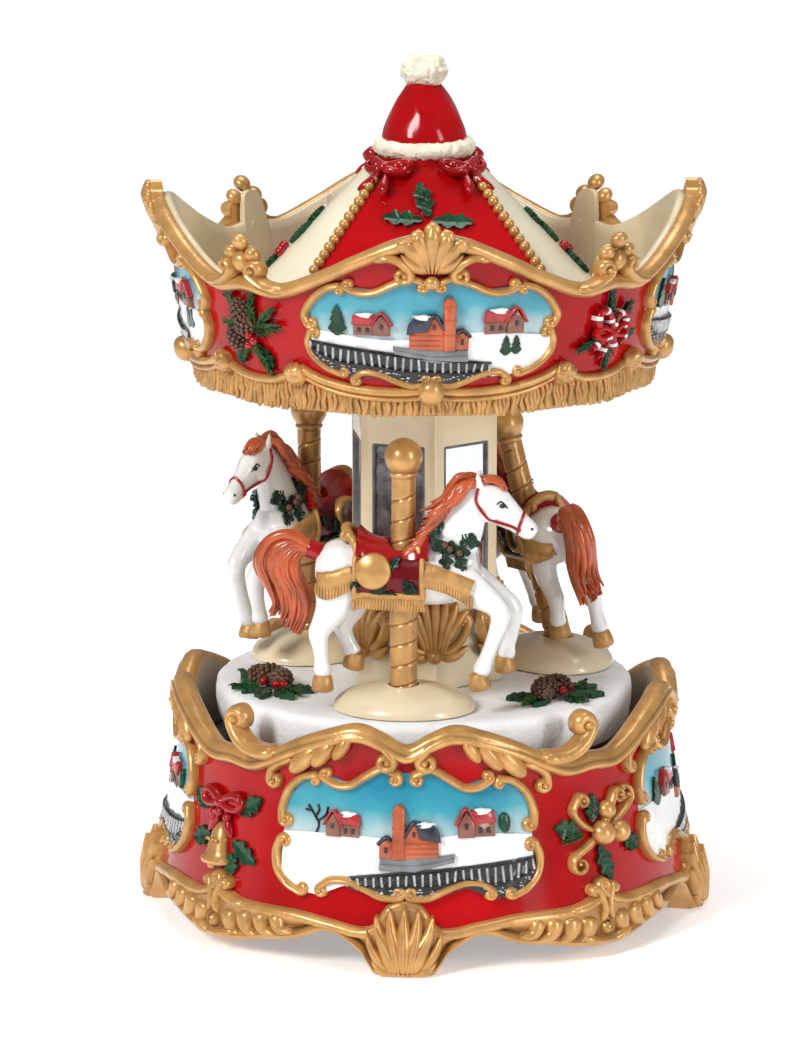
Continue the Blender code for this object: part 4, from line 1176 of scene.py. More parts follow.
def base_rim(paints):
    """The gold rim: a wavy moulding, curls at cartouches and corners, and leaves hanging under it."""

    def section(angle):
        top = along(RIM_TOP, angle)
        lean = 0.35 * math.sin(math.radians(abs((angle + 45) % 90 - 45)) * 4)
        outline = (
            (57.9, -5.4), (57.8, -2.8), (58.2, -1.2), (59.2, -0.3), (60.4, 0.0), (61.7, -0.2), (62.7, -0.9),
            (63.1, -1.7), (63.1, -2.3), (63.6, -2.7), (63.8, -3.4), (63.4, -4.1), (62.5, -4.5),
            (61.4, -4.7), (60.2, -5.2),
        )
        return [(radius + (lean if radius > 61 else 0), top + drop) for radius, drop in outline]

    parts = [ring(section, RING_STEPS)]
    place = [wall(base_radius, BASE_MM, side) for side in SIDES]
    half = []
    for points, width, height, curl, lift in (
        (((12.4, 57.8), (8.6, 57.2), (5.2, 55.4), (3.3, 53.2)), 1.4, 3.0, (2.2, 1), 0.6),
        (((26.0, 50.6), (29.8, 49.0), (32.4, 47.0), (32.8, 44.6)), 1.1, 2.3, (1.5, -1), 0.3),
    ):
        half += scroll(degrees_to_mm(points, BASE_MM), width, height, None, curl, lift=lift)
    # acanthus lobes hanging from the rim, each with a raised rib
    for a, size, lean in ((14.6, 0.8, 34), (18.9, 1.0, 40), (23.6, 1.15, 46)):
        lobe = [ball((0, 0, 1.3), (2.05 * size, 4.6 * size, 2.1), 16, 10)]
        lobe.append(petal(((0, 3.2 * size), (0, 0), (0, -3.5 * size)), 0.35, 0.5, lift=3.1))
        half += shifted(lobe, a * BASE_MM, along(RIM_TOP, a) - 5.0 - 0.7 * size, 0.6, lean)
    for lay in place:
        parts += laid(mirrored(half), lay)
    for side in (0, 180):
        lay = wall(base_radius, BASE_MM, side)
        roll = degrees_to_mm(
            ((31.0, 51.4), (35.0, 50.6), (39.0, 51.2), (42.2, 53.2), (44.2, 56.0)), BASE_MM
        )
        parts += laid(mirrored(scroll(roll, 2.0, 3.7, None, (2.5, 1), lift=0.8)), lay)
    piece("base_rim_moulding", "base", paints["gold"], parts, ("base_rim",), 60)


def base_foot(paints):
    """The gold foot band, shell feet, corner crests and acanthus lobes."""

    def section(angle):
        low, high = along(TRIM_BOTTOM, angle), along(TRIM_TOP, angle)
        out = along(TRIM_RADIUS, angle)
        mid = (low + high) / 2
        inner = max(high - 0.6, low + 1.2)
        return [
            (62.8, low), (out - 2.0, low), (out - 0.9, low + 0.5), (out - 0.5, low + 1.3),
            (out - 1.6, low + 2.1), (out - 2.2, low + 2.7), (out - 1.9, mid),
            (float(base_radius(high - 2.4)) + 1.7, high - 2.4),
            (float(base_radius(high - 1.6)) + 2.1, high - 1.5),
            (float(base_radius(high)) + 1.7, high - 0.5), (float(base_radius(high)) + 0.4, high),
            (62.8, inner),
        ]

    parts = [ring(section, RING_STEPS)]
    shell = []
    for k in range(-2, 3):
        spread = abs(k)
        tip = (k * 3.2, 17.6 - 1.1 * spread**1.5)
        low, waist = (k * 0.8, 0.8), (k * 1.9, 7.0)
        shoulder = (k * 2.75, 12.2 - 0.8 * spread)
        shell.append(petal((low, waist, shoulder, tip), 2.35, 3.2 - 0.3 * spread, power=0.45, lift=2.4))
        shell.append(
            petal(
                (low, waist, shoulder, (tip[0] * 0.96, tip[1] - 2.4)), 0.5, 0.7, power=0.8,
                lift=5.1 - 0.3 * spread
            )
        )
    for sign in (-1, 1):
        for points, width, height, lift in (
            (((3.0, 1.2), (5.2, 3.2), (7.3, 7.0), (8.4, 10.8)), 1.3, 2.2, 2.0),
            (((2.4, 0.9), (5.0, 1.4), (7.2, 3.8)), 1.2, 2.4, 2.2),
        ):
            side_lobe = [(sign * s, t) for s, t in points]
            shell.append(petal(side_lobe, width, height, power=0.6, lift=lift))
    shell.append(moulding(((-5.4, 1.1), (0, 0.9), (5.4, 1.1)), 0.9, 2.2, lift=2.4))
    half = []
    for foot, tip, width in (
        ((41.0, 9.2), (36.8, 4.2), 2.0), ((36.8, 9.8), (32.2, 5.2), 2.0), ((32.6, 10.2), (27.8, 6.6), 1.8),
        ((28.6, 10.6), (23.8, 7.9), 1.5)
    ):
        (a0, z0), (a1, z1) = foot, tip
        spine = [
            (a0 * BASE_MM, z0 + 1.6), ((a0 + a1) / 2 * BASE_MM + 1.0, (z0 + z1) / 2 - 0.6),
            (a1 * BASE_MM, z1 + 0.2)
        ]
        half.append(petal(spine, width * 1.2, 2.0, power=0.45, lift=0.9))
    for points, width, height, curl, lift in (
        (((36.0, 12.6), (40.0, 13.2), (43.4, 14.6), (45.6, 16.6)), 1.2, 2.4, (1.3, 1), 0.8),
        (((43.5, 9.0), (44.4, 12.0), (44.0, 14.6), (43.2, 16.8)), 1.0, 2.2, (1.0, 1), 1.4),
    ):
        half += scroll(degrees_to_mm(points, BASE_MM), width, height, None, curl, lift=lift)
    corner_lobe = degrees_to_mm(((38.5, 6.0), (42.0, 4.4), (45.0, 3.6)), BASE_MM)
    half.append(petal(corner_lobe, 1.5, 2.4, lift=1.0))
    half.append(button(45.0 * BASE_MM, 7.4, 1.9, 2.6, lift=0.9))
    for side in SIDES:
        lay = wall(base_radius, BASE_MM, side)
        parts += laid(shell + mirrored(half), lay)
    piece("foot_band", "base", paints["gold"], parts, ("foot_trim",), 60)


def base_corners(paints):
    """Reliefs between the cartouches: bow with bell, and ribbons with balls, each in holly."""
    for corner in CORNERS:
        place = wall(base_radius, BASE_MM, corner)
        red, gold, green, light = [], [], [], []
        if corner in (315, 135):
            red += shifted(bow(1.12), -2.2, 36.0, 0.8)
            red += [
                ball((-2.4, 33.6, 1.6), 1.3, 10, 7), ball((0.4, 32.6, 1.4), 1.2, 10, 7),
                ball((-4.8, 32.8, 1.4), 1.2, 10, 7)
            ]
            gold += shifted(bell(1.14), -2.6, 25.6, 0.5)
            for s, t, turn, size in (
                (-8.6, 33.0, 150, 7.4), (4.0, 34.0, 35, 8.6), (2.4, 27.0, -28, 9.4), (-6.4, 27.0, 200, 8.0),
                (2.0, 23.8, -70, 5.4)
            ):
                green += shifted(leaf(size, 2.6), s, t, 0.4, turn)
        else:
            for points, start, end in (
                (((-1.0, 31.0), (-4.6, 33.4), (-6.8, 36.6), (-5.4, 39.4)), None, (1.7, -1)),
                (((1.6, 31.0), (4.4, 35.0), (6.6, 38.8)), None, (1.9, -1)),
                (((4.2, 31.4), (9.0, 34.0), (12.0, 36.0)), None, (2.4, 1)),
                (((-1.0, 29.0), (-4.0, 27.2), (-6.6, 26.0)), None, (2.6, 1)),
            ):
                gold += scroll(points, 0.8, 2.0, start, end, lift=0.8, step=0.5)
            gold += [
                ball((1.4, 30.4, 2.0), 3.0, 16, 10), ball((7.0, 29.8, 1.8), 2.8, 16, 10),
                ball((3.6, 35.6, 1.6), 2.3, 14, 9)
            ]
            for s, t, turn, size in (
                (-1.0, 33.0, 80, 7.0), (-5.0, 31.4, 165, 7.4), (9.2, 28.2, -38, 7.4), (0.8, 27.0, -72, 9.6)
            ):
                green += shifted(leaf(size, 2.6), s, t, 0.4, turn)
            light += shifted(sprig(6.0, 16, 2.2, seed=corner), -4.0, 30.6, 0.6, 190)
        piece(f"corner_holly_{corner}", "base", paints["green"], laid(green, place), smooth=70)
        piece(f"corner_gold_{corner}", "base", paints["gold"], laid(gold, place))
        if red:
            piece(f"corner_bow_{corner}", "base", paints["berry"], laid(red, place))
        if light:
            piece(f"corner_sprig_{corner}", "base", paints["green_light"], laid(light, place))


# ---------------------------------------------------------------- turntable


def pole_frames():
    """For each horse: its name and the matrix from pole space to the world, in mm."""
    frames = {}
    for name, turn, lean in POLES:
        angle = TURNTABLE_ANGLE + turn
        foot = Vector(at(POLE_RING, angle, DOME_Z[1]))
        towards = Vector((math.cos(math.radians(LEAN_DIRECTION)), math.sin(math.radians(LEAN_DIRECTION)), 0))
        tilt = Matrix.Rotation(math.radians(lean), 4, Vector((0, 0, 1)).cross(towards))
        heading = Matrix.Rotation(math.radians(angle), 4, "Z")
        frames[name] = Matrix.Translation(foot) @ tilt @ heading @ Matrix.Translation((0, 0, -DOME_Z[1]))
    return frames


def drilled(obj, frames):
    """Cuts the poles' round holes through a finished piece."""
    low, high = PLATFORM_BORE_Z
    rod = turned(((0, low), (PLATFORM_BORE, low), (PLATFORM_BORE, high), (0, high)), 32)
    for frame_matrix in frames:
        drill = linked("drill", mesh_of("drill", placed([rod], frame_matrix)))
        cut_by(obj, drill)
        bake(obj)
        bpy.data.objects.remove(drill)


def platform(paints, frames):
    """The snow-covered turning platform, bored for the poles."""
    profile = [
        (0, 50.0), (44.0, 50.0), (46.0, 46.6), (50.6, 46.8), (52.0, 50.0), (52.4, 53.0), (52.5, 56.0),
        (52.3, 57.2), (51.6, 58.1)
    ]
    profile += [(r, PLATFORM_TOP) for r in (50.4, 46, 41, 36, 31, 26, 21, 16, 8, 0)]

    def ripple(angle, z):
        a = math.radians(angle)
        return 0.35 * noise.noise((math.cos(a) * 5, math.sin(a) * 5, z * 0.3))

    points, faces = turned(profile, 200, ripple)
    top = points[:, 2] > 58.0
    points[top, 2] += [0.22 * noise.noise(Vector(p) * 0.22) - 0.1 for p in points[top]]
    disc = piece("snow_platform", "turntable", paints["snow"], [(points, faces)], ("platform",))
    drilled(disc, frames.values())
    low, high = DOME_Z
    for name, turn, _ in POLES:
        rises = np.radians((0, 6, 14, 24, 35, 47, 60, 74))
        outline = [(0, low), (DOME_HALF[1], low)]
        outline += [(DOME_HALF[1] * math.cos(a), low + 0.3 + (high - low - 0.3) * math.sin(a)) for a in rises]
        outline += [(2.0, high), (0, high)]
        points, faces = turned(outline, 96)
        points[:, 1] *= DOME_HALF[0] / DOME_HALF[1]
        angle = TURNTABLE_ANGLE + turn
        set_down = Matrix.Translation(at(DOME_RING, angle, 0)) @ Matrix.Rotation(math.radians(angle), 4, "Z")
        dome = piece(
            f"dome_{name}", "turntable", paints["cream"],
            placed([(points, faces)], set_down), (f"pole_dome_{name}",)
        )
        drilled(dome, [frames[name]])


def platform_greens(paints):
    """Cones, holly, needles and berries on the snow between the domes."""
    for number, angle in enumerate((-60, 60, 180)):
        greens, lights, cones, berries = [], [], [], []
        place = ground(TURNTABLE_ANGLE + angle, GREENS_RING, PLATFORM_TOP, 0 if number != 1 else -12)
        for s, t, turn, size in (
            (-3, -0.8, 205, 8.5), (2.0, -2.8, -25, 9.5), (5.5, -1.0, 8, 9.0), (-4.0, 2.4, 160, 8.0),
            (0, -3.6, -60, 6.5), (3.5, 2.6, 40, 8.0)
        ):
            greens += shifted(leaf(size, 2.4, lift=0.9), s, t, 0.0, turn)
        for s, t, turn, seed in ((-7.0, -1.5, 195, 3), (6.5, 1.0, 15, 5), (1.0, -4.0, -100, 8)):
            lights += shifted(sprig(6.8, 22, 2.4, seed=seed + number), s, t, 0.9, turn)
        for s, t, turn, size in ((-2.6, 0.6, 20, 1.0), (2.2, 1.6, -35, 0.92), (-5.2, -1.2, 80, 0.8)):
            cones += shifted(pine_cone(7.4, 2.9), s, t, 2.4, turn, scale=size)
        for s, t in ((4.4, -0.6), (5.6, 0.9), (0.6, -2.4)):
            berries.append(ball((s, t, 2.0), 1.15, 12, 8))
        cluster(
            f"platform_{{}}_{number}", "turntable", paints, place,
            (
                ("holly", "green", greens), ("needles", "green_light", lights), ("cones", "cone", cones),
                ("berries", "berry", berries)
            )
        )


def column(paints):
    """The six-sided post, softened from the CAD post, with acanthus fans and grey pane edges."""
    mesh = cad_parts["column"].data.copy()
    mesh.name = "mirror_column"
    post = linked("mirror_column", mesh)
    weld = post.modifiers.new("weld", "WELD")
    weld.merge_threshold = 0.01 * MM
    soften = post.modifiers.new("soften", "BEVEL")
    soften.width, soften.segments = 0.45 * MM, 3
    soften.limit_method, soften.angle_limit = "ANGLE", math.radians(25)
    bake(post)
    post.data.materials.clear()
    post.data.materials.append(paints["cream"])
    post.data.polygons.foreach_set("use_smooth", [True] * len(post.data.polygons))
    post.data.set_sharp_from_angle(angle=math.radians(40))
    settle(post, "turntable", ("column",))
    flat = COLUMN_RADIUS * math.cos(math.pi / 6)
    rims, fans = [], []
    for side in range(6):
        turn = Matrix.Rotation(math.radians(COLUMN_ANGLE - 60 + 60 * side), 4, "Z")
        # flat (s, t, proud) on the post's face: s across, t up
        face = turn @ Matrix(((0, 0, 1, flat), (1, 0, 0, 0), (0, 1, 0, 0), (0, 0, 0, 1)))
        edge = [
            ((-6.7, 83.8), (-6.7, 120.1)), ((6.7, 83.8), (6.7, 120.1)), ((-6.7, 120.1), (6.7, 120.1)),
            ((-6.7, 83.8), (6.7, 83.8))
        ]
        rims += placed(
            [rope(smooth_path(line, 2.0), 0.42, 0.35, 5, sink=1.4, lift=-0.2) for line in edge], face
        )
        corner = Matrix.Rotation(math.radians(30), 4, "Z")
        on_corner = turn @ corner @ Matrix(((0, 0, 1, FAN_RADIUS), (1, 0, 0, 0), (0, 1, 0, 0), (0, 0, 0, 1)))
        fan = []
        for k in range(-3, 4):
            spread = abs(k)
            tip = (k * 2.9, 85.0 - 1.2 * spread**1.45)
            fan.append(
                petal(
                    ((k * 0.55, 67.0), (k * 1.3, 73.0), (k * 2.3, 80.0 - 0.8 * spread), tip), 1.45,
                    2.3 - 0.2 * spread, power=1.4, lift=1.0 - 0.25 * spread
                )
            )
        fan += mirrored(
            scroll(
                ((1.0, 68.0), (4.4, 69.0), (7.2, 72.0), (8.6, 75.4)), 1.2, 2.0, None, (1.8, 1), lift=-0.6
            )
        )
        fan += mirrored([petal(((1.0, 67.0), (5.0, 67.2), (8.6, 69.6)), 1.6, 2.0, lift=-0.8)])
        fan.append(button(0, 67.6, 2.2, 3.2, lift=0.4))
        fans += placed(fan, on_corner)
    piece("mirror_edges", "turntable", paints["mirror_edge"], rims)
    piece("column_acanthus", "turntable", paints["gold"], fans, smooth=60)


def pole(name, body, matrix, paints):
    """A gold pole with a spiral groove, a collar ring and a ball on top."""
    z, neck = 48.0, 116.8
    thick, thin, taper = 3.4, 3.0, 98
    profile = [(0, z)]
    while z < neck:
        profile.append((thick if z < taper else thin if z > taper + 2 else thick - 0.2 * (z - taper), z))
        z += 0.25
    profile += [(3.0, 117.0), (3.4, 117.4), (3.5, 117.9), (3.2, 118.3)]
    finial, middle = 4.7, 121.9
    profile += [
        (finial * math.cos(a), middle + finial * math.sin(a))
        for a in np.radians((-44, -32, -18, -4, 10, 24, 38, 52, 66, 80))
    ]
    profile.append((0, 126.6))

    def groove(angle, z):
        if not 50 < z < 115.5:
            return 0.0
        pitch, depth, width = 5.2, 0.34, 0.045
        away = abs((z / pitch - angle / 360.0) % 1.0 - 0.5)
        return -depth * math.exp(-((away / width) ** 2))

    piece(
        f"pole_{name}_twisted", body, paints["gold"],
        placed([turned(profile, 56, groove)], matrix), (f"pole_{name}",), 60
    )


# ---------------------------------------------------------------- horses: nose towards +x, outer side -y


def both_sides(*stations):
    """A limb's stations on the outer side and on the inner side."""
    return [[(x, side * y, *rest) for x, y, *rest in stations] for side in (-1, 1)]


# stations are (x, y, z, radius, thickness)
BODY_LIMBS = (
    # trunk
    (
        (-21.5, 0, 94.2, 3.2, 3.0), (-18.8, 0, 94.0, 6.4, 5.4), (-14.2, 0, 93.7, 7.6, 6.5),
        (-8, 0, 93.0, 7.3, 6.4),
        (0, 0, 92.7, 7.2, 6.4), (8, 0, 93.0, 7.8, 6.5), (13.6, 0, 94.4, 7.4, 5.9),
        (17.0, 0, 95.6, 5.0, 4.2), (18.6, 0, 96.0, 2.8, 2.6),
    ),
    # neck
    (
        (8.6, 0, 96.4, 6.6, 4.6), (12.6, 0, 101.6, 6.3, 4.0), (15.2, 0, 107.2, 5.2, 3.4),
        (17.0, 0, 111.8, 4.0, 2.8), (18.6, 0, 114.8, 2.6, 2.2)
    ),
    # head: poll, cheek, nose, muzzle
    (
        (18.0, 0, 113.8, 2.6, 2.2), (20.2, 0, 112.3, 4.0, 2.7), (22.7, 0, 110.5, 4.6, 3.0),
        (25.4, 0, 108.5, 3.8, 2.5),
        (28.0, 0, 106.6, 2.95, 2.1), (30.0, 0, 105.1, 2.7, 2.15), (31.5, 0, 104.1, 2.35, 2.0),
        (32.4, 0, 103.5, 1.4, 1.3),
    ),
    # cheeks and brows
    *both_sides((20.8, 1.7, 108.9, 2.4, 1.5), (23.0, 1.8, 108.0, 2.0, 1.2)),
    *both_sides((23.4, 2.0, 112.9, 0.8, 0.7), (25.4, 2.0, 111.7, 0.7, 0.6)),
    # ears
    *both_sides((18.9, 1.6, 114.6, 1.25, 0.85), (18.6, 2.0, 116.6, 1.1, 0.7), (18.5, 2.1, 118.9, 0.35, 0.3)),
    # fore legs: shoulder, forearm, knee, cannon, fetlock
    (
        (12.0, -3.2, 93.0, 5.4, 3.1), (16.0, -3.8, 90.9, 4.7, 2.8), (20.0, -4.0, 88.5, 3.7, 2.5),
        (23.0, -4.1, 86.4, 2.9, 2.3), (24.4, -4.1, 84.3, 2.7, 2.35),
        (24.0, -4.1, 81.4, 2.25, 2.05), (22.5, -4.1, 76.2, 1.9, 1.85), (21.0, -4.1, 71.6, 1.9, 1.85),
        (20.1, -4.1, 68.8, 2.3, 2.1), (19.6, -4.1, 67.0, 2.0, 1.9),
    ),
    (
        (12.0, 3.2, 93.0, 5.4, 3.1), (16.8, 3.8, 90.3, 4.7, 2.8), (21.4, 4.0, 87.4, 3.7, 2.5),
        (25.0, 4.1, 85.2, 2.9, 2.3), (26.4, 4.1, 83.2, 2.7, 2.35),
        (26.4, 4.1, 80.6, 2.25, 2.05), (26.0, 4.1, 76.6, 1.9, 1.85), (25.3, 4.1, 73.4, 1.9, 1.85),
        (25.0, 4.1, 71.2, 2.3, 2.1), (24.8, 4.1, 69.8, 2.0, 1.9),
    ),
    # hind legs: haunch, thigh, hock, cannon, fetlock
    (
        (-14.4, -3.0, 93.0, 6.6, 3.7), (-15.8, -3.7, 88.6, 5.7, 3.2), (-17.2, -4.0, 84.2, 4.3, 2.8),
        (-19.2, -4.1, 80.2, 3.1, 2.4), (-20.4, -4.1, 77.2, 2.7, 2.2),
        (-20.1, -4.1, 73.6, 2.1, 2.0), (-19.7, -4.1, 69.6, 1.95, 1.9), (-19.5, -4.1, 66.8, 2.35, 2.1),
        (-19.5, -4.1, 65.0, 2.0, 1.9),
    ),
    (
        (-12.4, 3.0, 92.6, 6.4, 3.7), (-12.4, 3.7, 88.0, 5.3, 3.1), (-13.2, 4.0, 83.6, 3.9, 2.7),
        (-14.8, 4.1, 79.9, 2.9, 2.3), (-15.7, 4.1, 77.4, 2.6, 2.2),
        (-15.0, 4.1, 74.6, 2.1, 2.0), (-14.0, 4.1, 72.0, 1.95, 1.9), (-13.4, 4.1, 70.4, 2.3, 2.1),
        (-13.1, 4.1, 69.3, 2.0, 1.9),
    ),
)
HOOVES = ((19.2, -4.1, 65.3, -12), (24.6, 4.1, 68.4, -6), (-19.5, -4.1, 63.4, 0), (-12.8, 4.1, 67.9, 14))


KNEE_Z, SHIN_SHARE = 82.0, 0.86
DEGREES_PER_MM = 9.0
LOCK_WAVE = 0.35


def raised(z):
    """Shortens the shins: heights below the knees are drawn in towards them."""
    return KNEE_Z - (KNEE_Z - z) * SHIN_SHARE if z < KNEE_Z else z


def limb(stations):
    """A round-ended tube through (x, y, z, radius, thickness) stations, eased between them."""
    line = smooth_path([(x, y, raised(z), radius, thick) for x, y, z, radius, thick in stations], 0.6)
    centres, sides = line[:, :3], 14
    run = np.gradient(centres, axis=0)
    points = []
    for centre, heading, (radius, thick) in zip(centres, run, line[:, 3:5]):
        up = Vector(heading).cross(Vector((0, 1, 0))).normalized()
        side = up.cross(Vector(heading)).normalized()
        points += [tuple(Vector(centre) + up * radius * y + side * thick * x) for x, y in circle(sides)]
    faces = loops(len(line), sides) + [tuple(range(sides)), tuple(range(len(points) - sides, len(points)))]
    return np.array(points), faces


def fused(name, parts, voxel, smooth_steps, bore):
    """One skin over overlapping parts, in mm; bore is the radius of a clear hole round the pole."""
    obj = linked(name, mesh_of(name, parts, 1.0))
    skin = obj.modifiers.new("skin", "REMESH")
    skin.mode, skin.voxel_size = "VOXEL", voxel
    relax = obj.modifiers.new("relax", "SMOOTH")
    relax.factor, relax.iterations = 0.5, smooth_steps
    points, faces = turned(((0, 60), (bore, 60), (bore, 130), (0, 130)), 40)
    drill_mesh = bpy.data.meshes.new("drill")
    drill_mesh.from_pydata(points.tolist(), [], faces)
    drill = linked("drill", drill_mesh)
    cut_by(obj, drill)
    bake(obj)
    points = np.array([v.co for v in obj.data.vertices])
    faces = [tuple(p.vertices) for p in obj.data.polygons]
    bpy.data.objects.remove(obj)
    bpy.data.objects.remove(drill)
    return points, faces


class Hide:
    """The fused body as a surface that straps and cloth can be laid on."""

    def __init__(self, part):
        points, faces = part
        self.tree = BVHTree.FromPolygons([tuple(p) for p in points], faces)

    def barrel(self, x, turn, proud, height=92.6):
        """The spot at x, turned round the trunk: 0 is the spine, 90 the outer side (-y)."""
        a = math.radians(turn)
        ray = Vector((0, -math.sin(a), math.cos(a)))
        centre = Vector((x, 0, height))
        hit = self.tree.ray_cast(centre + ray * 16, -ray, 16)[0]
        spot = hit if hit is not None else centre + ray * 5.5
        return tuple(spot + ray * proud)

    def near(self, point, proud):
        spot, normal, _, _ = self.tree.find_nearest(Vector(point))
        return tuple(spot + normal * proud)

    def cloth(self, xs, turns, proud, depth=0.8):
        """A closed patch hugging the trunk: proud(i, j) shares run 0 to 1 along x and round."""
        top, bottom = [], []
        for i, x in enumerate(xs):
            u = i / (len(xs) - 1)
            line = [self.barrel(x, turn, proud(u, j / (len(turns) - 1))) for j, turn in enumerate(turns)]
            top.append(line)
            bottom.append([self.barrel(x, turn, -depth) for turn in turns])
        return sheet_solid(np.array(top), np.array(bottom))

    def band(self, path, width, height, depth=0.7, frill=0.0):
        """A strap along (x, turn) spots on the trunk, width across in mm; frill waves its lower edge."""
        path = smooth_path([(x, turn / DEGREES_PER_MM) for x, turn in path], 0.45)
        run = np.gradient(path, axis=0)
        run /= np.linalg.norm(run, axis=1, keepdims=True)
        top, bottom = [], []
        for k, ((x, turn), (dx, dt)) in enumerate(zip(path, run)):
            line, under = [], []
            for j in range(7):
                v = j / 3 - 1
                w = width * v + (frill * math.sin(k * 1.9) if j == 6 else 0)
                px, pt = x - dt * w, (turn + dx * w) * DEGREES_PER_MM
                line.append(
                    self.barrel(px, pt, height * (0.72 + 0.28 * (1 - v * v)) if 0 < j < 6 else height * 0.5)
                )
                under.append(self.barrel(px, pt, -depth))
            top.append(line)
            bottom.append(under)
        return sheet_solid(np.array(top), np.array(bottom))


def strand(points, radius, seed):
    """One lock of hair: tapered, slightly wavy."""
    draw = random.Random(seed)
    phase = draw.uniform(0, 6)
    path = smooth_path(points, 0.6)
    share = np.linspace(0, 1, len(path))
    path = path + np.stack(
        (np.sin(share * 7 + phase), np.cos(share * 6 + phase) * 0.6, np.sin(share * 5 + phase * 2)), 1
    ) * LOCK_WAVE
    return tube(
        path,
        radius * (0.5 + 0.5 * np.sin(math.pi * np.clip(share * 0.8 + 0.12, 0, 1))) * (1 - 0.72 * share**3),
        7
    )


def hair(guides, count, spread, radius, seed):
    """Locks blended between guide paths, scattered sideways."""
    draw = random.Random(seed)
    locks = []
    for k in range(count):
        t = (k + draw.uniform(0.1, 0.9)) / count * (len(guides) - 1)
        first, mix = min(int(t), len(guides) - 2), t - min(int(t), len(guides) - 2)
        side = draw.uniform(-1, 1)
        path = []
        for share, (a, b) in enumerate(zip(guides[first], guides[first + 1])):
            point = [p + (q - p) * mix for p, q in zip(a, b)]
            point[1] += side * spread * (0.35 + 0.65 * share / (len(guides[0]) - 1))
            point[0] += draw.uniform(-0.35, 0.35)
            path.append(point)
        locks.append(strand(path, radius * draw.uniform(0.75, 1.15), draw.random()))
    return locks


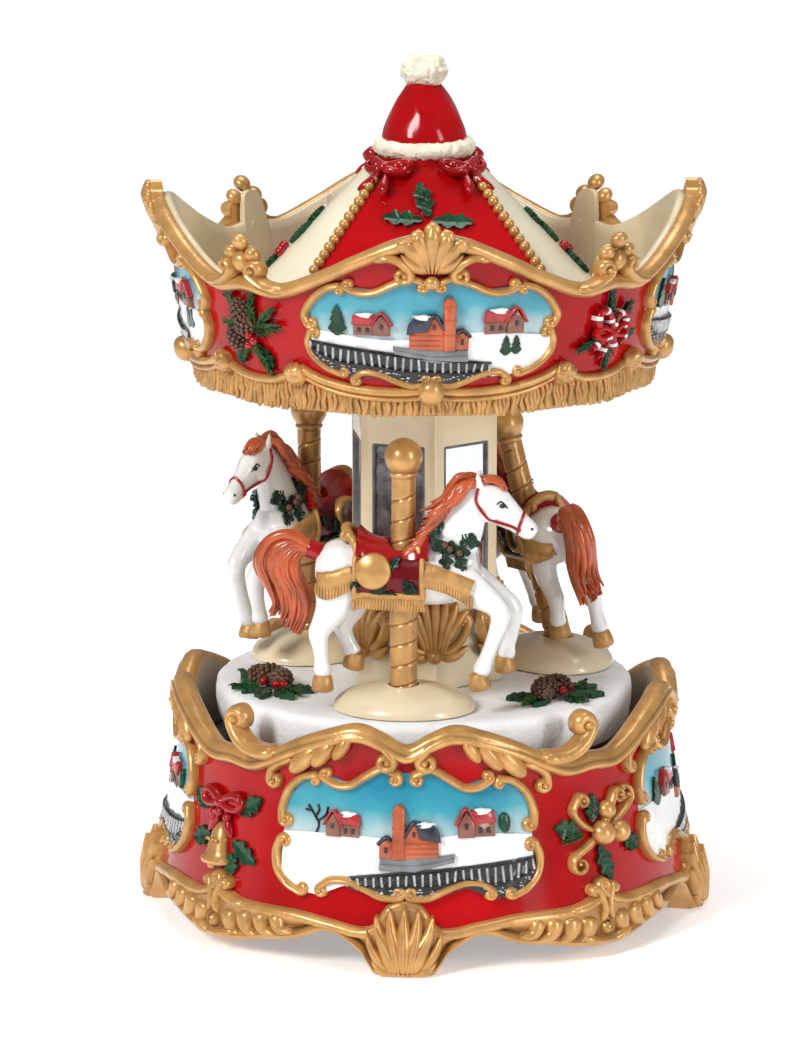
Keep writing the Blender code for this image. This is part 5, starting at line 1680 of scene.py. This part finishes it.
def horse_parts():
    """Every painted part of one horse: {label: (paint, flat list of parts)}."""
    body = fused("horse_skin", [limb(stations) for stations in BODY_LIMBS], 0.42, 5, HORSE_BORE)
    hide = Hide(body)
    parts = {"body": ("horse", [body])}

    # mane from the poll to the withers, swept to the outer side, and the forelock
    crest = [
        (18.6, 0, 116.4), (16.0, 0, 116.0), (13.4, 0, 113.6), (11.4, 0, 110.4), (9.6, 0, 107.0),
        (7.6, 0, 103.6), (5.0, 0, 101.6)
    ]
    mane = []
    for side in (-1, 1):
        guides = [
            [
                (x + 1.0, 0, z - 0.6), (x - 0.6, side * 2.4, z + 0.1), (x - 2.6, side * 3.8, z - 2.0),
                (x - 5.0 - 0.2 * k, side * 4.2, z - 4.8), (x - 6.6 - 0.2 * k, side * 4.6, z - 5.4)
            ]
            for k, (x, _, z) in enumerate(crest)
        ]
        mane += hair(guides, 30, 0.6, 1.15, 7 + side)
    mane += [
        strand(
            ((19.6, 0, 116.4), (16.0, 0, 117.8), (12.4, 0, 115.4), (9.8, -0.4, 112.0), (6.4, 0.2, 110.4)),
            1.4, 4
        ),
        strand(
            (
                (17.6, -0.6, 117.0), (14.0, -0.9, 117.2), (10.6, -0.9, 113.4), (7.4, -1.1, 110.4),
                (4.6, -0.8, 108.8)
            ),
            1.2, 5
        )
    ]
    mane += hair(
        [
            [(18.8, -0.8, 116.2), (21.6, -1.4, 116.6), (24.6, -1.6, 114.6)],
            [(18.8, 0.6, 116.4), (22.4, 0.4, 117.0), (26.0, 0.2, 114.4)],
            [(18.8, 1.0, 116.2), (21.4, 1.8, 116.2), (24.2, 2.0, 114.2)]
        ],
        9, 0.3, 0.8, 3
    )
    mane.append(cord([(x - 0.4, 0, z - 1.2) for x, _, z in crest], 2.0, 10, 0.8))
    parts["mane"] = ("mane", mane)

    # tail: thin wrapped dock, then a wide flowing fall
    tail_guides = [
        [
            (-22.6, 0, 96.8), (-25.0, 0, 97.6), (-26.6, -0.4, 95.0), (-25.8, -0.6, 91.0),
            (-24.0, -0.8, 87.0), (-24.2, -0.8, 82.0), (-26.0, -0.6, 76.6)
        ],
        [
            (-22.6, 0, 98.0), (-26.5, 0, 99.6), (-30.4, 0.0, 97.6), (-31.0, 0.2, 92.6), (-28.8, 0.2, 88.0),
            (-27.6, 0.0, 83.2), (-28.8, 0.0, 79.2)
        ],
        [
            (-22.6, 0, 99.0), (-28.0, 0, 101.8), (-33.8, 0.4, 99.8), (-36.0, 0.6, 94.6), (-34.2, 0.6, 89.2),
            (-31.8, 0.6, 85.2), (-32.8, 0.4, 82.0)
        ],
    ]
    tail = hair(tail_guides, 52, 3.0, 1.3, 21)
    tail.append(cord([(x, 0, z) for x, _, z in tail_guides[1]][1:6], 2.4, 10, 0.8))
    parts["tail"] = ("mane", tail)
    wrap = smooth_path(((-19.0, 0, 96.6), (-21.0, 0, 97.6), (-23.6, 0, 98.4)), 0.4)
    parts["tail_wrap"] = (
        "berry", [tube(wrap, [2.5 + 0.14 * math.sin(k * 2.1) for k in range(len(wrap))], 16)]
    )

    # hooves
    hooves = []
    profile = (
        (0, -2.3), (2.3, -2.3), (2.75, -1.9), (2.6, -0.4), (2.3, 1.1), (2.2, 1.5), (1.7, 1.9), (0, 1.9)
    )
    for x, y, z, lean in HOOVES:
        stand = Matrix.Translation((x, y, raised(z) - 0.2)) @ Matrix.Rotation(math.radians(lean), 4, "Y")
        hooves += placed([turned(profile, 18)], stand)
    parts["hooves"] = ("gold_rough", hooves)

    # saddle with a tall cantle, blanket with fringe, medal
    def saddle_height(u, v):
        return 0.9 + 2.0 * (2 * u - 1) ** 4 + 0.9 * math.sin(math.pi * v)

    def blanket_height(u, v):
        return 1.0 + 0.2 * math.sin(7 * u) * v

    saddle = hide.cloth(np.linspace(-10.8, 7.0, 26), np.linspace(-50, 50, 25), saddle_height)
    parts["saddle"] = ("berry", [saddle])
    blanket = [
        hide.cloth(np.linspace(-11.0, 5.3, 22), np.linspace(side * 40, side * 126, 22), blanket_height)
        for side in (-1, 1)
    ]
    parts["blanket"] = ("dark_red", blanket)
    sprigs = []
    for side in (-1, 1):
        for x, turn, lean, size in (
            (-0.6, 74, 60, 4.6), (2.6, 90, -40, 4.6), (-1.4, 104, 200, 4.4), (2.2, 112, 20, 4.0),
            (-9.2, 118, 100, 3.6), (-2.6, 118, -10, 4.2)
        ):
            spot = Vector(hide.barrel(x, side * turn, 1.1))
            out = Vector((0, -side * math.sin(math.radians(turn)), math.cos(math.radians(turn))))
            ahead = Vector((1, 0, 0))
            face = Matrix.Translation(spot) @ Matrix((ahead, out.cross(ahead), out)).transposed().to_4x4()
            sprigs += placed(shifted(leaf(size, 1.3, 2, fold=0.3, lift=0.2), -size * 0.4, 0, 0.0, lean), face)
    parts["blanket_holly"] = ("green_dark", sprigs)
    trim = []
    for side in (-1, 1):
        for path, width, height in (
            (((-11.0, 48), (-11.1, 90), (-11.2, 126)), 0.75, 1.7),
            (((5.4, 48), (5.5, 90), (5.6, 126)), 0.75, 1.7),
            (((-11.6, 125), (-3, 126), (6.0, 125)), 0.95, 1.9),
        ):
            trim.append(hide.band([(x, side * turn) for x, turn in path], width, height))
        for x in np.linspace(-11.4, 5.8, 25):
            top = Vector(hide.barrel(x, side * 126, 1.25))
            trim.append(
                tube(
                    [top + Vector((0.15 * math.sin(5 * k + x), 0, -1.1 * k)) for k in range(4)],
                    (0.34, 0.42, 0.42, 0.3), 6
                )
            )
        # breast strap and crupper strap with fringe
        for path, spread in (
            (((6.2, 72), (10.4, 82), (14.2, 93), (17.6, 105)), 13),
            (((-11.6, 82), (-14.6, 90), (-17.8, 96), (-20.8, 99)), 12)
        ):
            trim.append(hide.band([(x, side * turn) for x, turn in path], 2.1, 1.3))
            lower = smooth_path([(x, (turn + spread) / DEGREES_PER_MM) for x, turn in path], 0.7)
            for k, (x, turn) in enumerate(lower):
                hang = [
                    hide.barrel(x, side * (turn * DEGREES_PER_MM + step), 0.9) for step in (-2, 6, 12, 18)
                ]
                trim.append(tube(hang, (0.36, 0.46, 0.46, 0.3), 6))
    # the cantle's rolled scroll behind the rider and a pommel edge
    for side in (-1, 1):
        for points, radius, sides, step in (
            (
                ((-10.6, 5.4, 96.6), (-10.6, 5.0, 99.0), (-11.6, 4.2, 101.2), (-13.2, 3.2, 102.8)), 1.2, 10,
                0.5
            ),
            (
                (
                    (-13.0, 3.0, 102.8), (-14.2, 3.2, 103.2), (-14.7, 3.3, 102.2), (-13.9, 3.4, 101.5),
                    (-13.3, 3.5, 102.1)
                ),
                0.7, 8, 0.4
            ),
            (((5.4, 5.4, 97.6), (4.4, 4.6, 99.8), (3.2, 3.4, 101.0)), 0.9, 10, 0.5),
        ):
            trim.append(cord([(x, side * y, z) for x, y, z in points], radius, sides, step))
    cantle_edge = (
        (-13.0, -3.4, 102.6), (-13.8, -1.8, 103.5), (-14.1, 0, 103.9), (-13.8, 1.8, 103.5),
        (-13.0, 3.4, 102.6)
    )
    trim.append(cord(cantle_edge, 1.3, 12, 0.5))
    parts["trim"] = ("gold_rough", trim)
    back = np.array([
        [(-9.2 - 4.0 * i**0.8, y * (1 - 0.25 * i), 98.2 + 4.6 * i) for y in np.linspace(-4.6, 4.6, 11)]
        for i in np.linspace(0, 1, 9)
    ])
    parts["cantle"] = ("berry", [sheet_solid(back + (0.7, 0, 0.2), back + (-0.9, 0, -0.4))])
    medal = []
    for side in (-1, 1):
        spot = Vector((-6.5, side * 6.2, 94.6))
        face = Matrix.Translation(spot) @ Matrix.Rotation(
            math.radians(side * 90 + (6 if side > 0 else -6)), 4, "X"
        )
        disc = turned(
            (
                (0, -2.4), (4.1, -2.4), (4.4, -2.0), (4.5, 1.2), (4.1, 1.9), (3.7, 2.1), (3.3, 1.9),
                (3.0, 1.4), (0, 1.4)
            ),
            48
        )
        flip = Matrix.Rotation(math.pi, 4, "X") if side > 0 else Matrix.Identity(4)
        medal += placed([disc], face @ flip)
    parts["medal"] = ("gold", medal)

    # holly and a few dark berries round the neck's foot, bridle, eyes, nostrils
    holly, dots = [], []
    for side in (-1, 1):
        for x, z, turn, size in (
            (7.4, 103.6, 60, 4.8), (8.8, 102.2, -20, 5.2), (9.6, 100.8, 120, 4.4), (11.4, 100.2, 15, 5.4),
            (12.6, 98.8, -60, 4.6), (14.2, 99.4, 20, 5.2), (15.6, 98.6, -35, 4.8), (16.8, 99.8, 70, 4.6),
            (17.8, 101.4, 10, 4.2)
        ):
            spot = Vector(hide.near((x, side * 5.0, z), 0.3))
            out = Vector((0.25, side, 0.15)).normalized()
            tangent = Vector((1, 0, -0.5)).normalized()
            upward = out.cross(tangent) * -side
            face = Matrix.Translation(spot) @ Matrix((tangent, upward, out)).transposed().to_4x4()
            holly += placed(shifted(leaf(size, 1.9, 2, fold=0.4), -size * 0.4, 0, 0.2, turn), face)
        for x, z in ((10.9, 101.4), (12.0, 100.4), (14.4, 99.4)):
            dots.append(ball(hide.near((x, side * 5.0, z), 1.3), 0.95, 10, 7))
    parts["collar"] = ("green_dark", holly)
    parts["collar_berries"] = ("cone", dots)
    reins, marks = [], []
    for side in (-1, 1):
        cheek = [
            hide.near(p, 0.1)
            for p in (
                (18.6, side * 3.2, 115.0), (18.4, side * 3.6, 111.8), (20.4, side * 4.0, 108.0),
                (23.4, side * 3.6, 106.4), (26.4, side * 3.2, 105.4), (28.4, side * 2.8, 104.6)
            )
        ]
        reins.append(cord(cheek, 0.38, 7, 0.4))
        nose = [
            hide.near(p, 0.1)
            for p in (
                (30.0, 0, 109.4), (29.6, side * 1.8, 108.2), (28.8, side * 2.6, 106.2),
                (28.2, side * 2.4, 104.4), (27.6, 0, 102.8)
            )
        ]
        reins.append(cord(nose, 0.40, 7, 0.35))
        reins.append(ball(hide.near((28.4, side * 2.8, 104.8), 0.2), 0.62, 9, 6))
        marks.append(ball(hide.near((24.6, side * 3.2, 110.9), -0.22), (1.0, 0.45, 0.68), 12, 8))
        brow = [
            hide.near(p, 0.06)
            for p in (
                (23.3, side * 3.2, 111.3), (24.2, side * 3.2, 112.0), (25.4, side * 3.2, 111.3),
                (26.0, side * 3.0, 110.4)
            )
        ]
        marks.append(cord(brow, 0.22, 6, 0.25))
        marks.append(ball(hide.near((31.8, side * 1.8, 105.2), -0.12), (0.45, 0.3, 0.4), 9, 6))
    parts["bridle"] = ("berry", reins)
    parts["eyes"] = ("black", marks)
    return parts


def horses(paints, frames):
    """The three painted horses, each riding its own sliding body."""
    parts = horse_parts()
    for name, matrix in frames.items():
        body = f"{name}_horse"
        pole(name, body, matrix, paints)
        for label, (paint_name, shapes) in parts.items():
            stands = (f"horse_{name}",) if label == "body" else ()
            piece(
                f"horse_{name}_{label}", body, paints[paint_name], placed(shapes, matrix),
                stands, 60
            )


# ---------------------------------------------------------------- canopy


def crown(paints):
    """Red crown wall, its inside and ceiling in a darker cream that paints in their shade, and its waved gold
    rim with shells, curls and balls.
    """

    def outer(angle):
        top = along(CROWN_TOP, angle - CANOPY_ANGLE) - 1.2
        heights = [top - (top - 142.4) * (k / 13) for k in range(14)]
        skin = [(float(crown_radius(z)), z) for z in heights]
        return skin + [(57.0, 140.6), (52.6, 140.6), (52.6, 142.6), (55.4, 143.6)] + [
            (float(crown_radius(z)) - 1.5, z) for z in heights[::-1][1:]
        ]

    def lining(angle):
        top = along(CROWN_TOP, angle - CANOPY_ANGLE) + 0.05
        heights = [top - 0.3 - (top - 0.3 - 146.0) * (k / 8) for k in range(9)]
        edge = float(crown_radius(top))
        skin = [(float(crown_radius(z)) - 1.1, z) for z in heights] + [
            (float(crown_radius(z)) - 2.8, z) for z in heights[::-1]
        ]
        return [(edge - 1.5, top), *skin, (edge - 2.4, top)]

    skin = [ring(outer, RING_STEPS)]
    piece("crown_wall", "turntable", paints["red"], skin, ("canopy_crown",), 30)
    # painted shade: lining and ceiling take the darkened cream of the canopy's shaded inside
    piece("crown_lining", "turntable", paints["crown_inside_painted_shade"], [ring(lining, RING_STEPS)])
    ceiling = turned(((0, 139.0), (52.4, 139.0), (53.4, 139.4), (53.4, 142.2), (52.0, 142.6), (0, 141.6)), 96)
    piece("crown_ceiling", "turntable", paints["crown_inside_painted_shade"], [ceiling])

    def rim(angle):
        local = angle - CANOPY_ANGLE
        top = along(CROWN_TOP, local)
        out = float(crown_radius(top))
        outline = (
            (-1.5, -3.2), (-1.5, -0.7), (-1.0, -0.1), (0.0, 0.2), (1.1, 0.0), (1.9, -0.6), (2.3, -1.5),
            (2.2, -2.4), (1.6, -3.1), (0.6, -3.5), (-0.6, -3.6)
        )
        return [(out + radius, top + drop) for radius, drop in outline]

    parts = [ring(rim, RING_STEPS)]
    half = []
    for points, width, height, curl, lift in (
        (((12.5, 174.6), (9.4, 175.6), (6.8, 174.6), (5.0, 172.6)), 1.25, 2.9, (1.9, 1), 0.6),
        (((33.0, 165.6), (38.0, 166.2), (41.5, 168.2)), 1.4, 3.2, (2.0, 1), 0.8),
    ):
        half += scroll(degrees_to_mm(points, CROWN_MM), width, height, None, curl, lift=lift)
    shell = []
    for k in range(-2, 3):
        spread = abs(k)
        shell.append(ball((k * 3.0, 183.0 - 1.7 * spread**1.3, 3.0), (1.75, 1.7, 1.0), 14, 9))
        shell.append(
            petal(
                (
                    (k * 0.6, 172.0), (k * 1.7, 176.5), (k * 2.75, 180.6 - 0.9 * spread),
                    (k * 3.1, 184.6 - 1.9 * spread**1.3)
                ),
                1.95, 2.6 - 0.2 * spread, power=1.5, lift=2.3
            )
        )
    shell += mirrored([petal(((1.0, 172.4), (4.0, 173.8), (6.8, 176.6)), 1.5, 2.2, lift=1.6)])
    shell += [ball((0, 169.6, 2.2), 1.75, 14, 9)]
    tabs = []
    for side in SIDES:
        lay = wall(crown_radius, CROWN_MM, CANOPY_ANGLE + side)
        parts += laid(mirrored(half) + shell, lay)
        corner = wall(crown_radius, CROWN_MM, CANOPY_ANGLE + side + 45)
        trio = [
            ball((0, 176.6, 0.0), 2.1, 16, 10), ball((-3.4, 173.6, 0.2), 2.0, 16, 10),
            ball((3.4, 173.6, 0.2), 2.0, 16, 10), ball((0, 171.6, 0.4), 2.7, 14, 9)
        ]
        parts += laid(trio, corner)
        outline = [(-5.4, 152.6), (5.4, 152.6), (4.3, 163.0), (4.0, 168.6)] + [
            (3.2 * math.cos(a), 172.4 + 2.9 * math.sin(a)) for a in np.linspace(0, math.pi, 12)
        ] + [(-4.0, 168.6)]
        tabs += laid([slab(outline, -2.9, -1.1)], corner)
    piece("crown_rim", "turntable", paints["gold"], parts, smooth=60)
    # painted shade: the tabs inside the crown take the same darkened cream
    piece("crown_tabs", "turntable", paints["crown_inside_painted_shade"], tabs)


def swags(paints):
    """Fringe of twisted strands, the draped moulding above it, big balls and rosettes."""
    base = [
        ring(
            lambda angle: (
                (53.2, 136.1), (56.2, 135.9), (56.6, 136.5), (56.8, 139.5), (57.0, 142.0), (53.2, 142.2)
            ),
            192
        )
    ]
    draw = random.Random(11)
    count = 320
    for k in range(count):
        angle = 360.0 * k / count + draw.uniform(-0.2, 0.2)
        lean = draw.uniform(-0.7, 0.7)
        low = 135.9 + 0.35 * math.sin(math.radians(angle * 12)) + draw.uniform(-0.15, 0.25)
        path = [
            at(
                56.9 + draw.uniform(-0.1, 0.35), angle + lean * share + 0.3 * math.sin(8 * share + k),
                142.6 - (142.6 - low) * share
            )
            for share in np.linspace(0, 1, 7)
        ]
        base.append(
            tube(path, np.array((0.50, 0.60, 0.66, 0.62, 0.68, 0.64, 0.45)) * draw.uniform(0.85, 1.15), 6)
        )
    piece("fringe_strands", "turntable", paints["gold_rough"], base, ("canopy_fringe",), 70)
    parts = []
    for side in SIDES:
        lay = wall(crown_radius, CROWN_MM, CANOPY_ANGLE + side)
        hem = degrees_to_mm(((0, 141.6), (8, 140.9), (18, 141.4), (26, 143.0), (32, 145.6)), CROWN_MM)
        drape = mirrored([
            moulding([(s, z + 0.9) for s, z in hem], 1.2, 1.9),
            moulding([(s, z - 0.8) for s, z in hem], 0.7, 1.5)
        ])
        drape += [ball((0, 142.2, 1.8), 3.3, 20, 12)]
        between = wall(crown_radius, CROWN_MM, CANOPY_ANGLE + side + 45)
        bend = degrees_to_mm(((0, 142.4), (5, 142.8), (9, 144.2), (12, 145.4)), CROWN_MM)
        arch = mirrored([moulding(bend, 1.1, 1.8)])
        parts += laid(drape, lay) + laid(arch, between)
        for spot in (-33, 33):
            knot = [rough(ball((spot * CROWN_MM, 145.0, 1.0), 3.0, 26, 16), 0.55, 0.6, spot + side)]
            knot += [
                petal(
                    (
                        (spot * CROWN_MM, 145.0),
                        (spot * CROWN_MM + 2.4 * math.cos(a), 145.0 + 2.4 * math.sin(a))
                    ),
                    0.9, 1.2, lift=2.6
                )
                for a in np.linspace(0.3, math.tau + 0.3, 6)[:-1]
            ]
            parts += laid(knot, lay)
    piece("crown_swags", "turntable", paints["gold"], parts, smooth=60)


def crown_corners(paints):
    """Between the cartouches: pine sprigs with cones and berries, and candy canes with a bow, turn about."""
    for corner in CORNERS:
        place = wall(crown_radius, CROWN_MM, CANOPY_ANGLE + corner)
        if corner in (315, 135):
            twigs, cones, berries, leaves = [], [], [], []
            for s, t, turn, size, seed in (
                (0.5, 156.0, 78, 9.0, 1), (1.2, 154.5, 42, 9.5, 2), (-1.5, 156.5, 128, 8.0, 3),
                (1.0, 152.0, -62, 8.5, 4), (-1.0, 152.5, -118, 7.0, 5), (2.0, 155.0, 12, 7.5, 6),
                (-2.0, 154.5, 168, 6.5, 7)
            ):
                twigs += shifted(sprig(size, 34, 3.0, seed=seed + corner), s, t, 0.7, turn)
            for s, t, turn in ((-2.2, 159.4, 75), (-4.4, 152.0, 110), (-0.6, 155.8, 30)):
                cones += shifted(pine_cone(6.0, 2.3), s, t, 1.6, turn)
            for s, t in ((0.6, 153.6), (2.0, 152.4), (0.2, 151.2)):
                berries.append(ball((s, t, 2.3), 1.1, 12, 8))
            for s, t, turn in ((2.4, 150.6, -50), (-3.0, 150.2, -125)):
                leaves += shifted(leaf(6.0, 1.9), s, t, 0.5, turn)
            groups = (
                ("needles", "green_light", twigs), ("cones", "cone", cones), ("berries", "berry", berries),
                ("leaves", "green", leaves)
            )
        else:
            canes, ends, twigs, ribbon = [], [], [], []
            for flip, lean, s0, t0 in (
                (False, 24, -2.2, 148.0), (True, 20, 2.6, 149.0), (False, 62, -5.6, 150.2)
            ):
                hook = [(0, 0), (0, 5.5), (0, 9.5)] + [
                    (1.9 - 1.9 * math.cos(a), 9.5 + 2.3 * math.sin(a)) for a in (0.6, 1.2, 1.8, 2.5, 3.1)
                ] + [(3.8, 8.2)]
                path = smooth_path(hook, 0.4)
                cane = [rope(path, 0.95, 1.5, lift=0.9)]
                canes += shifted(cane, s0, t0, 0.3, -lean if not flip else lean, flip=flip)
                tips = [rope(path[k:k + 3], 1.02, 1.6, lift=0.9) for k in range(3, len(path) - 3, 8)]
                ends += shifted(tips, s0, t0, 0.3, -lean if not flip else lean, flip=flip)
            for s, t, turn, size, seed in (
                (0.0, 157.0, 92, 7.0, 1), (4.2, 156.0, 60, 5.0, 2), (-4.0, 152.4, 200, 6.0, 3),
                (0.5, 150.0, -86, 5.5, 4), (5.0, 152.0, 10, 4.5, 5)
            ):
                twigs += shifted(sprig(size, 26, 2.6, seed=seed + corner), s, t, 0.8, turn)
            ribbon += shifted(bow(0.85), 0.6, 153.6, 1.4)
            groups = (
                ("canes", "berry", canes), ("cane_tips", "snow_smooth", ends), ("needles", "green", twigs),
                ("bow", "red", ribbon)
            )
        cluster(f"crown_{corner}_{{}}", "turntable", paints, place, groups)


def roof_top(paints):
    """Four-sided tent roof, red and cream by turns, with beads, bows, holly, fur band and hat."""
    columns = np.linspace(-45, 45, 19)

    def face(turn, reach):
        place = roof(turn, reach)
        rows = np.linspace(-23.0, roof_lengths(reach)[-1], 27)
        flat = []
        for t in rows:
            radius = place(np.array([[0.0, t, 0.0]]))[0]
            middle = math.hypot(radius[0], radius[1])
            flat += [(middle * math.tan(math.radians(a)), t, 0.0) for a in columns]
        top = place(np.array(flat)).reshape(len(rows), len(columns), 3)
        return sheet_solid(top, top * (0.955, 0.955, 1) - (0, 0, 1.2))

    for name, slot_name, finish, sides in (
        ("roof_red_faces", "red_lacquer", "red", (0, 180)),
        ("roof_cream_faces", "cream_paint", "cream_roof", (90, 270))
    ):
        reach = ROOF_FACE if 0 in sides else CREAM_FACE
        solids = [face(CANOPY_ANGLE + side, reach) for side in sides]
        if 0 in sides:
            solids.append(turned(((0, 187.0), (10.4, 187.0), (10.8, 189.0), (10.8, 191.4), (0, 191.4)), 64))
        piece(name, "turntable", paints[finish], solids, ("roof_cone",) if 0 in sides else (), 30)
    beads, ties, holly, berries = [], [], [], []
    for corner in CORNERS:
        ridge = roof(CANOPY_ANGLE + corner, 1.0)
        for k, t in enumerate(np.linspace(-3.4, 25.6, 13)):
            beads += laid([ball((0, t, 0.5), 1.36 if k % 2 else 1.28, 14, 9)], ridge)
        toward_red = 1 if corner % 180 > 90 else -1
        ties += laid(shifted(bow(1.0), toward_red * 1.9, 28.6, 1.1), ridge)
        puffs = ((-3.2, 29.6), (3.2, 29.6), (-1.7, 28.0), (1.7, 28.0))
        ties += laid([ball((toward_red * 1.9 + s, t, 1.5), (1.7, 1.4, 1.3), 12, 8) for s, t in puffs], ridge)
    for side in SIDES:
        place = roof(CANOPY_ANGLE + side, ROOF_FACE if side in (0, 180) else CREAM_FACE)
        if side in (0, 180):
            spots = ((0.4, 12.2, 102, 10.2, 2.4), (-1.0, 11.4, 176, 10.2, 2.3), (1.4, 11.2, -4, 10.4, 2.3))
        else:
            spots = ((0.3, 0.0, 82, 7.6, 2.2), (0.0, -3.0, -96, 7.8, 2.2), (-0.6, 6.4, 96, 5.8, 1.9))
            berries += laid([ball((-0.5, -1.7, 0.9), 1.3, 14, 9), ball((1.4, -3.2, 0.9), 1.3, 14, 9)], place)
        for s, t, angle, size, width in spots:
            holly += laid(shifted(leaf(size, width, 3), s, t, 0.45, angle), place)
    piece("roof_beads", "turntable", paints["gold"], beads)
    piece("roof_bows", "turntable", paints["berry"], ties)
    piece("roof_holly", "turntable", paints["green"], holly, smooth=70)
    piece("roof_berries", "turntable", paints["berry"], berries)

    def band(_angle):
        return [(10.5 + 2.1 * x, 192.9 + 2.1 * y) for x, y in circle(18)]

    fluff = rough(rough(ring(band, 170), 0.45, 0.65), 0.3, 1.9, 4.0)
    piece(
        "fur_band", "turntable", paints["fur"],
        [fluff, turned(((0, 190.4), (10.6, 190.4), (10.6, 194.6), (0, 194.6)), 48)], ("hat_band",), 70
    )
    brim, taper, bulge, foot, rise, rows = 10.5, 6.3, 0.95, 195.4, 12.9, 14
    profile = [(0, 194.4), (10.3, 194.4), (brim, foot)]
    for k in range(1, rows + 1):
        share = k / rows
        radius = brim - taper * share + bulge * math.sin(math.pi * share**0.9)
        profile.append((radius, foot + rise * share))
    profile += [(3.6, 208.9), (0, 209.0)]

    def folds(angle, z):
        a = math.radians(angle)
        creases = 0.22 * math.sin(6 * a + z * 0.35) * max(0.0, math.sin((z - 195.6) / 13 * math.pi))
        return creases + 0.12 * noise.noise((math.cos(a) * 4, math.sin(a) * 4, z * 0.3))

    piece("hat_felt", "turntable", paints["red"], [turned(profile, 96, folds)], ("hat",), 50)
    puff = ball((0, 0, 211.65), (5.7, 5.7, 4.3), 72, 44)
    puff = rough(rough(puff, 0.75, 0.42, 9.0), 0.4, 1.3, 2.0)
    piece("pompom_fur", "turntable", paints["fur"], [puff], ("pompom",), 70)


# ---------------------------------------------------------------- carried-over CAD nodes


def finish_cad_nodes(paints):
    """Procedural paint for the CAD nodes that stay visible."""
    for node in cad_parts.values():
        if node.hide_render:
            continue
        name = node.name
        if name.startswith("mirror_"):
            # painted reflection: the panes in DARK_PANES get the dark mirror colour
            choice = "mirror_dark" if name in DARK_PANES else "mirror"
        elif name in ("base_deck", "bottom_cover"):
            choice = "board"
        elif name in (
            "lift_track", "music_comb", "winding_arbor", "mainspring", "cylinder_arbor"
        ) or "screw" in name:
            choice = "steel"
        else:
            choice = "brass"
        node.data.materials.clear()
        node.data.materials.append(paints[choice])


def main():
    """Makes the camera, the lamps, the paints and then every piece."""
    camera()
    studio()
    paints = make_paints()
    base_paints = dict(paints, sky=sky("base_sky", 33.0, 46.0))
    crown_paints = dict(paints, sky=sky("crown_sky", 156.5, 168.5))
    frames = pole_frames()
    base_walls(paints)
    base_rim(paints)
    base_foot(paints)
    base_corners(paints)
    hang_pictures(
        "base", "base", base_scene, base_frame(), lambda side: wall(base_radius, BASE_MM, side),
        base_paints, "base_medallion_{}"
    )
    platform(paints, frames)
    platform_greens(paints)
    column(paints)
    horses(paints, frames)
    crown(paints)
    swags(paints)
    crown_corners(paints)
    hang_pictures(
        "crown", "turntable", crown_scene, crown_frame(),
        lambda side: wall(crown_radius, CROWN_MM, CANOPY_ANGLE + side), crown_paints,
        "canopy_medallion_{}"
    )
    roof_top(paints)
    finish_cad_nodes(paints)


main()
